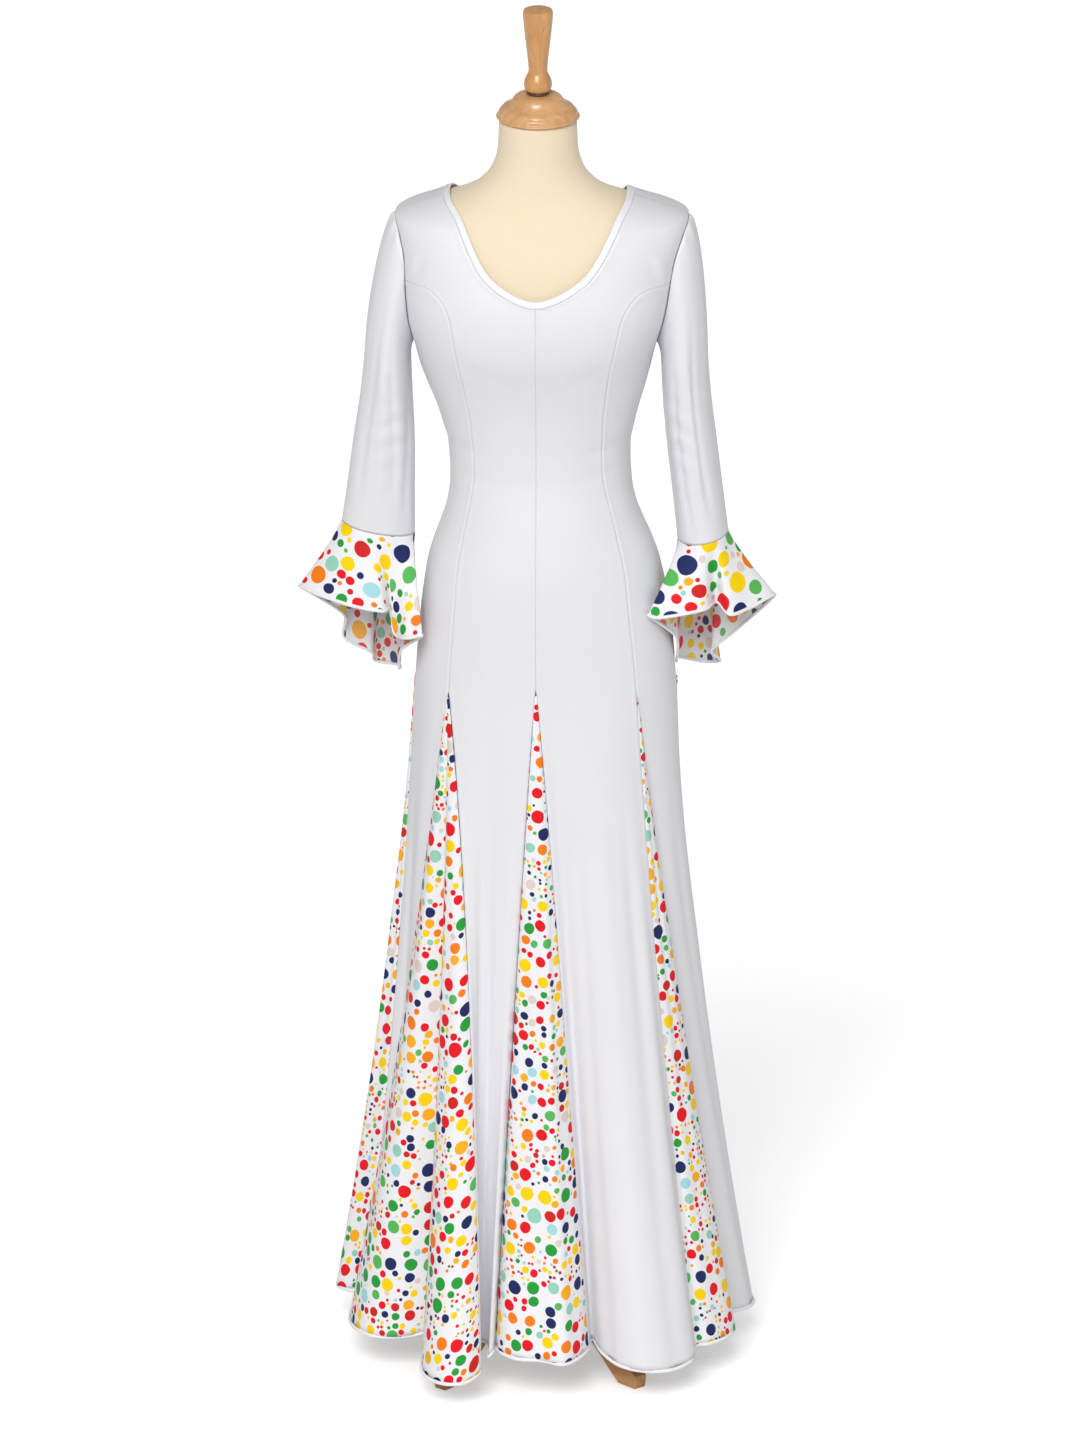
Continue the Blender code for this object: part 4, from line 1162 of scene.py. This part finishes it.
for order, row in enumerate(hem):
    node = row[0]
    if node.endswith("gore"):
        grid, bodyRowsCount = fineGore(node)
        grid = respaced(grid, 34 if node.startswith(("front", "back")) else 24)
        looks = [whiteKnit]
    else:
        grid, bodyRowsCount = fineGodet(node), 0
        grid = respaced(grid, 44 if node == "front_left_godet" else 28)
        looks = [dottedKnit, dottedReverse]
    out = gridNormals(grid)
    depth = seamDepth(grid, ("first", "last")) + troughDepth(node, grid, bodyRowsCount)
    if bodyRowsCount:
        depth += creaseDepth(grid)
    grid = grid + out * depth[..., None]
    places = flatPlaces(grid, (order * 1.73, order * 0.61))
    piece = clothShell(showName(node), grid, looks, places)
    declareSheet(piece, node)
print("gores and godets made")


hemRoll = {"tall": 4.8 * mm, "thick": 3.4 * mm, "steps": 12, "drop": 0.2}  # drop: share of its height


def skirtHemEdge():
    line = splineThrough(hemStations, hemRoll["steps"], closed=True)
    centre = line.mean(0)
    along = np.roll(line, -1, 0) - np.roll(line, 1, 0)
    outwards = unit((line - centre) * (1, 1, 0))
    fall = unit(np.array([0, 0, -1.0]) + 0.12 * outwards)
    out = unit(np.cross(fall, along))
    line = line - out * cloth["wall"] / 2 + fall * hemRoll["tall"] * hemRoll["drop"]
    # the hem roll takes the brighter white: painted light on its down-facing cloth
    return rolledEdge("skirtHemRoll", line, fall, out, hemRoll["tall"], hemRoll["thick"], paintedBrightEdge)


hemEdge = skirtHemEdge()
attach(hemEdge, "root")
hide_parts("skirt_hem_edging")


binding = {
    "raise": 1.0 * mm,
    "reach": (-0.6 * mm, 9.2 * mm),
    "rows": 11,
    "stitch": 2.3 * mm,
    "stitchGap": 1.1 * mm,
    "thread": 0.38 * mm,
    "wall": 1.4 * mm,
    "turnUnder": 0.5 * mm,  # how far its two edges sink
    "stitchRows": (2.0 * mm, 7.6 * mm),
}


def neckRing(width, count=90):
    shares = np.linspace(0, 1, count)
    front, back = neckLine("front", width, shares), neckLine("back", width, shares)
    right = np.concatenate([front[::-1], back[1:]])
    return np.concatenate([right, right[-2:0:-1] * (-1, 1)])


def makeBinding():
    rows = []
    shares = np.linspace(0, 1, binding["rows"])
    for share, width in zip(shares, np.linspace(*binding["reach"], binding["rows"])):
        ring = neckRing(width)
        bulge = binding["raise"] * (1 - abs(2 * share - 1) ** 3.5) - binding["turnUnder"] * (share in (0, 1))
        points = bodyPoint(ring[:, 0], ring[:, 1])
        rows.append(points + bodyNormal(ring[:, 0], ring[:, 1]) * bulge)
    grid = np.array(rows)
    # the binding takes the brighter white: painted highlight along it
    piece = clothShell("neckBinding", grid, [paintedBrightEdge], None, True, binding["wall"])
    declareSheet(piece, "neck_binding")


threadShape = ((0, 0.25), (0.2, 1), (0.8, 1), (1, 0.25))  # share of a stitch, share of its thickness
threadSides = 6


# The point a given run along a line
def pointAlong(line, run, at):
    return np.array([np.interp(at, run, column) for column in line.T])


# Short raised threads along closed lines
def makeStitches(name, lines, look):
    points, faces = [], []
    around = range(threadSides)
    pitch = binding["stitch"] + binding["stitchGap"]
    for line, out in lines:
        line, out = np.vstack([line, line[:1]]), np.vstack([out, out[:1]])
        run = arcLengths(line)
        for start in np.arange(0, run[-1] - pitch, pitch):
            first = len(points)
            for share, size in threadShape:
                at = start + share * binding["stitch"]
                spot, normal = pointAlong(line, run, at), pointAlong(out, run, at)
                sideways = unit(np.cross(normal, pointAlong(line, run, at + 0.5 * mm) - spot))
                for angle in (turn * math.pi / 3 for turn in around):
                    lift = unit(normal) * (math.sin(angle) + 0.3)
                    points.append(spot + binding["thread"] * size * (sideways * math.cos(angle) + lift))
            for base in range(first, first + 3 * threadSides, threadSides):
                ring = [(base + t, base + (t + 1) % threadSides) for t in around]
                faces += [[a, b, b + threadSides, a + threadSides] for a, b in ring]
            faces.append([first + t for t in reversed(around)])
            faces.append([first + 3 * threadSides + t for t in around])
    return addPiece(name, np.array(points), faces, [look])


makeBinding()
stitchLines = []
for width in binding["stitchRows"]:
    ring = neckRing(width)
    normals = bodyNormal(ring[:, 0], ring[:, 1])
    stitchLines.append((bodyPoint(ring[:, 0], ring[:, 1]) + normals * binding["raise"], normals))
# the stitches take the brighter white: painted highlight
neckStitches = makeStitches("neckBindingStitches", stitchLines, paintedBrightEdge)
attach(neckStitches, "root")
print("neck made")


sleeveFine = {"columns": 120, "capRows": 34, "armRows": 74}

# Sleeve folds: degrees round from the outer side through the front, width in degrees, depth in mm,
# and the shares of the sleeve's length where each starts and ends
sleeveFolds = {
    "right": (
        (62, 9, -2.2, 0.15, 0.95), (84, 8, 1.6, 0.2, 0.9), (112, 9, -2.0, 0.25, 1.0), (30, 9, 1.2, 0.1, 0.6),
        (150, 10, -1.8, 0.3, 0.9), (235, 12, -2.2, 0.2, 0.9), (265, 10, 1.6, 0.2, 0.8),
        (300, 12, -2.0, 0.2, 0.95),
    ),
    "left": (
        (58, 9, -2.2, 0.15, 0.9), (80, 8, 1.6, 0.25, 0.95), (105, 9, -2.2, 0.2, 0.9), (34, 9, 1.3, 0.1, 0.7),
        (145, 10, -1.8, 0.35, 1.0), (230, 12, -2.2, 0.2, 0.9), (262, 10, 1.6, 0.2, 0.8),
        (305, 12, -2.0, 0.25, 0.9),
    ),
}
# Soft wrinkles across the inner elbow, in degrees where they are not lengths
elbow = {
    "height": 1215 * mm, "reach": 60 * mm, "spacing": 31 * mm, "depth": 0.7 * mm,
    "middle": 110, "spread": 55,
}
# The tucks at the sleeve's head
headTucks = {"reach": 15 * mm, "depth": 1.1 * mm, "count": 17, "slowCount": 7, "spread": 75, "settle": 4 * mm}
# How its seams sink: at the armhole, at the cuff and down the inner side
sleeveSeams = {"armhole": 0.5 * mm, "cuff": 0.25 * mm, "width": 1.8 * mm, "inner": 0.7 * mm, "innerWidth": 2.2}


def sleeveDepth(side, grid, turns):
    rows = len(grid)
    turns = turns[None]
    down = (np.arange(rows) / (rows - 1))[:, None]
    total = np.zeros(grid.shape[:2])
    for at, width, depth, start, end in sleeveFolds[side]:
        wander = at + 7 * np.sin(4.5 * down + at)
        away = wrapped(turns - wander)
        fade = np.clip((down - start) / 0.15, 0, 1) * np.clip((end - down) / 0.15, 0, 1)
        total += depth * mm * hump(away, width) * fade
    front = hump(wrapped(turns - elbow["middle"]), elbow["spread"])
    rise = grid[..., 2] - elbow["height"]
    slant = rise + 0.10 * grid[..., 0] + 6 * mm * np.sin(np.radians(turns * 2))
    wrinkles = np.sin(2 * math.pi * slant / elbow["spacing"])
    total += elbow["depth"] * wrinkles * front * hump(rise, elbow["reach"])
    away = arcLengths(grid)
    head = hump(wrapped(turns), headTucks["spread"])
    tucks = np.cos(np.radians(turns * headTucks["count"]))
    tucks = tucks + 0.5 * np.cos(np.radians(turns * headTucks["slowCount"] + 40))
    tucks = headTucks["depth"] * tucks * head * hump(away, headTucks["reach"])
    total += tucks * np.clip(away / headTucks["settle"], 0, 1)
    total -= sleeveSeams["armhole"] * hump(away, sleeveSeams["width"])
    total -= sleeveSeams["cuff"] * hump(away[-1:] - away, sleeveSeams["width"])
    total -= sleeveSeams["inner"] * hump(np.abs(wrapped(turns - 180)), sleeveSeams["innerWidth"])
    return total


def makeSleeve(side):
    turns = np.arange(sleeveFine["columns"]) * 360 / sleeveFine["columns"]
    capShares = np.arange(sleeveFine["capRows"]) / sleeveFine["capRows"]
    armShares = np.linspace(0, 1, sleeveFine["armRows"])
    grid = sleeveGrid(side, turns, capShares, armShares)
    grid = easeJoin(grid, sleeveFine["capRows"], 14)
    if side == "right":
        grid, turns = grid[:, ::-1], turns[::-1]
    grid = grid + gridNormals(grid, True) * sleeveDepth(side, grid, turns)[..., None]
    piece = clothShell(f"sleeve{side.capitalize()}", grid, [whiteKnit], None, True)
    declareSheet(piece, f"sleeve_{side}")


flounceFine = {
    "steps": 16, "rows": 46, "roll": (4.6 * mm, 3.5 * mm), "dip": 0.25 * mm,
    "uneven": 0.5 * mm, "unevenSize": 20 * mm,
}


# A circular flounce in the flat is a ring, so the print keeps its size out to the hem
def ringPlaces(grid, shift):
    top = np.linalg.norm(np.roll(grid[0], -1, 0) - grid[0], axis=-1).sum()
    hemRun = arcLengths(np.vstack([grid[-1], grid[-1][:1]]))
    depth = np.linalg.norm(grid[-1] - grid[0], axis=-1).mean()
    turn = (hemRun[-1] - top) / depth
    inner = top / turn
    angle = hemRun[:-1] / hemRun[-1] * turn
    reach = inner + arcLengths(grid)
    return np.stack([reach * np.cos(angle) + shift[0], reach * np.sin(angle) + shift[1]], -1)


def makeFlounce(side):
    shares = np.linspace(0, 1, flounceFine["rows"])
    grid = flounceGrid(side, flounceFine["steps"], shares)
    if side == "right":
        grid = grid[:, ::-1]
    away = arcLengths(grid)
    depth = -flounceFine["dip"] * hump(away, sleeveSeams["width"])
    depth = depth + flounceFine["uneven"] * softNoise(grid, flounceFine["unevenSize"], 5)
    grid = grid + gridNormals(grid, True) * depth[..., None]
    places = ringPlaces(grid, (0.4, 0.3) if side == "right" else (2.1, 1.2))
    piece = clothShell(f"flounce{side.capitalize()}", grid, [cuffKnit, cuffReverse], places, True)
    declareSheet(piece, f"flounce_{side}")
    fall = unit(grid[-1] - grid[-2])
    out = unit(np.cross(fall, np.roll(grid[-1], -1, 0) - np.roll(grid[-1], 1, 0)))
    line = grid[-1] - out * cloth["wall"] / 2 + fall * flounceFine["roll"][0] * hemRoll["drop"]
    # the hem roll takes the brighter white: painted light on its down-facing cloth
    edge = rolledEdge(f"flounce{side.capitalize()}HemRoll", line, fall, out, *flounceFine["roll"], paintedBrightEdge)
    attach(edge, "root")
    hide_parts(f"flounce_{side}_hem_edging")


for side in ("right", "left"):
    makeSleeve(side)
    makeFlounce(side)
print("sleeves made")


formFine = {"columns": 160, "step": 6}


def makeForm():
    heights = np.array(sorted({*np.arange(formBottom, formTop, formFine["step"]), formTop}), float)[::-1]
    angles = np.arange(formFine["columns"]) * 360 / formFine["columns"]
    grid = np.array([formPoint(angles, np.full(len(angles), h)) for h in heights])
    piece = addPiece("jerseyForm", grid.reshape(-1, 3), cappedFaces(grid), [creamJersey])
    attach(piece, "root")
    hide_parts("form_torso")


makeForm()


turnedSteps = 96


# A turned piece from half its profile, rounded through its points
def turnedPiece(name, node, profile, look):
    line = splineThrough(profile, 5)
    line[:, 0] = np.maximum(line[:, 0], 0)
    angles = np.arange(turnedSteps) * 2 * math.pi / turnedSteps
    reach, height = line[1:-1, :1], line[1:-1, 1:]
    grid = np.stack([reach * np.cos(angles), reach * np.sin(angles), height + 0 * angles], -1) * mm
    piece = addPiece(name, grid.reshape(-1, 3), cappedFaces(grid), [look])
    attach(piece, "root")
    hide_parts(node)


turnedPiece("neckCap", "neck_cap", capProfile, capBeech)
# a dark ring under the handle: painted shade for the gap between handle and cap
turnedPiece("handleRingGapShade", "handle_ring", ringProfile, darkWoodAndGapShade)
turnedPiece("turnedHandle", "handle", handleProfile, handleBeech)


legEdge = 1.6 * mm  # how far its edges are eased


# A leg cut from a board, its edges eased
def makeLeg(name, angle):
    outline = bpy.data.curves.new(f"leg{name}", "CURVE")
    outline.dimensions = "2D"
    outline.fill_mode = "BOTH"
    outline.extrude = legWidth / 2 - legEdge
    outline.bevel_depth = legEdge
    outline.bevel_resolution = 3
    outline.offset = -legEdge
    upper = splineThrough(legUpper, 8)
    lower = splineThrough(legLower, 8)
    points = np.vstack([upper, legFoot, lower])
    line = outline.splines.new("POLY")
    line.points.add(len(points) - 1)
    for point, (reach, height) in zip(line.points, points):
        point.co = (reach * mm, height * mm, 0, 1)
    line.use_cyclic_u = True
    shape = bpy.data.objects.new("shape", outline)
    bpy.context.scene.collection.objects.link(shape)
    bpy.context.view_layer.update()
    mesh = bpy.data.meshes.new_from_object(shape.evaluated_get(bpy.context.evaluated_depsgraph_get()))
    bpy.data.objects.remove(shape)
    mesh.materials.clear()
    mesh.materials.append(legBeech)
    leg = bpy.data.objects.new(f"leg{name}", mesh)
    leg.rotation_euler = (math.pi / 2, 0, math.radians(angle - 90))
    bpy.context.scene.collection.objects.link(leg)
    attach(leg, "root")
    return leg


for place, angle in legAngles.items():
    leg = makeLeg("".join(part.capitalize() for part in place.split("_")), angle)
    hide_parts(f"leg_{place}")
for node, look in (("pole", darkWoodAndGapShade), ("stand_hub", handleBeech)):
    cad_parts[node].material_slots[0].material = look
print("form and stand made")


studio = {
    "turn": 1.5, "tilt": 20.0, "away": 55.0, "aim": (0.00615, 0, 0.8207), "view": 1.781, "sensor": 36,
    "sky": 0.32, "backdrop": 1.0, "floorGlow": 0.42, "floorHalf": 40, "floorGrey": 0.93,
    "lamps": (  # name, power, tilt and turn in degrees, how wide it is in degrees
        ("key", 2.12, (-40, -9), 30),
        ("fill", 0.24, (-30, 50), 80),
    ),
}


def makeStudio():
    scene = bpy.context.scene
    turn, tilt = math.radians(studio["turn"]), math.radians(studio["tilt"])
    camera = bpy.data.objects.new("camera", bpy.data.cameras.new("camera"))
    toCamera = Vector((math.sin(turn) * math.cos(tilt), -math.cos(turn) * math.cos(tilt), math.sin(tilt)))
    camera.location = Vector(studio["aim"]) + studio["away"] * toCamera
    camera.rotation_euler = (math.pi / 2 - tilt, 0, turn)
    camera.data.sensor_width = studio["sensor"]
    camera.data.lens = studio["sensor"] * studio["away"] / studio["view"]
    camera.data.clip_end = 200
    scene.collection.objects.link(camera)
    scene.camera = camera
    mesh = bpy.data.meshes.new("studioFloor")
    half = studio["floorHalf"]
    corners = [(-half, -half, 0), (half, -half, 0), (half, half, 0), (-half, half, 0)]
    mesh.from_pydata(corners, [], [(0, 1, 2, 3)])
    look, tree, shader = newMaterial("studioFloor")
    shader.inputs["Base Color"].default_value = (*[studio["floorGrey"]] * 3, 1)
    shader.inputs["Roughness"].default_value = 0.9
    shader.inputs["Emission Color"].default_value = (1, 1, 1, 1)
    # only the camera sees the glow, so the floor throws no more light up than a plain one
    seen = addNode(tree, "ShaderNodeLightPath").outputs["Is Camera Ray"]
    tree.links.new(mathNode(tree, "MULTIPLY", seen, studio["floorGlow"]), shader.inputs["Emission Strength"])
    mesh.materials.append(look)
    floor = bpy.data.objects.new("studioFloor", mesh)
    scene.collection.objects.link(floor)
    world = bpy.data.worlds.new("studio")
    world.use_nodes = True
    tree = world.node_tree
    sky = tree.nodes["Background"]
    sky.inputs[0].default_value = (1, 1, 1, 1)
    seen = addNode(tree, "ShaderNodeLightPath").outputs["Is Camera Ray"]
    more = mathNode(tree, "MULTIPLY", seen, studio["backdrop"] - studio["sky"])
    tree.links.new(mathNode(tree, "ADD", more, studio["sky"]), sky.inputs[1])
    scene.world = world
    for name, power, angles, spread in studio["lamps"]:
        lamp = bpy.data.lights.new(name, "SUN")
        lamp.energy = power
        lamp.angle = math.radians(spread)
        light = bpy.data.objects.new(name, lamp)
        light.rotation_euler = (math.radians(90 + angles[0]), 0, math.radians(angles[1]))
        scene.collection.objects.link(light)
    scene.view_settings.view_transform = "Standard"


makeStudio()
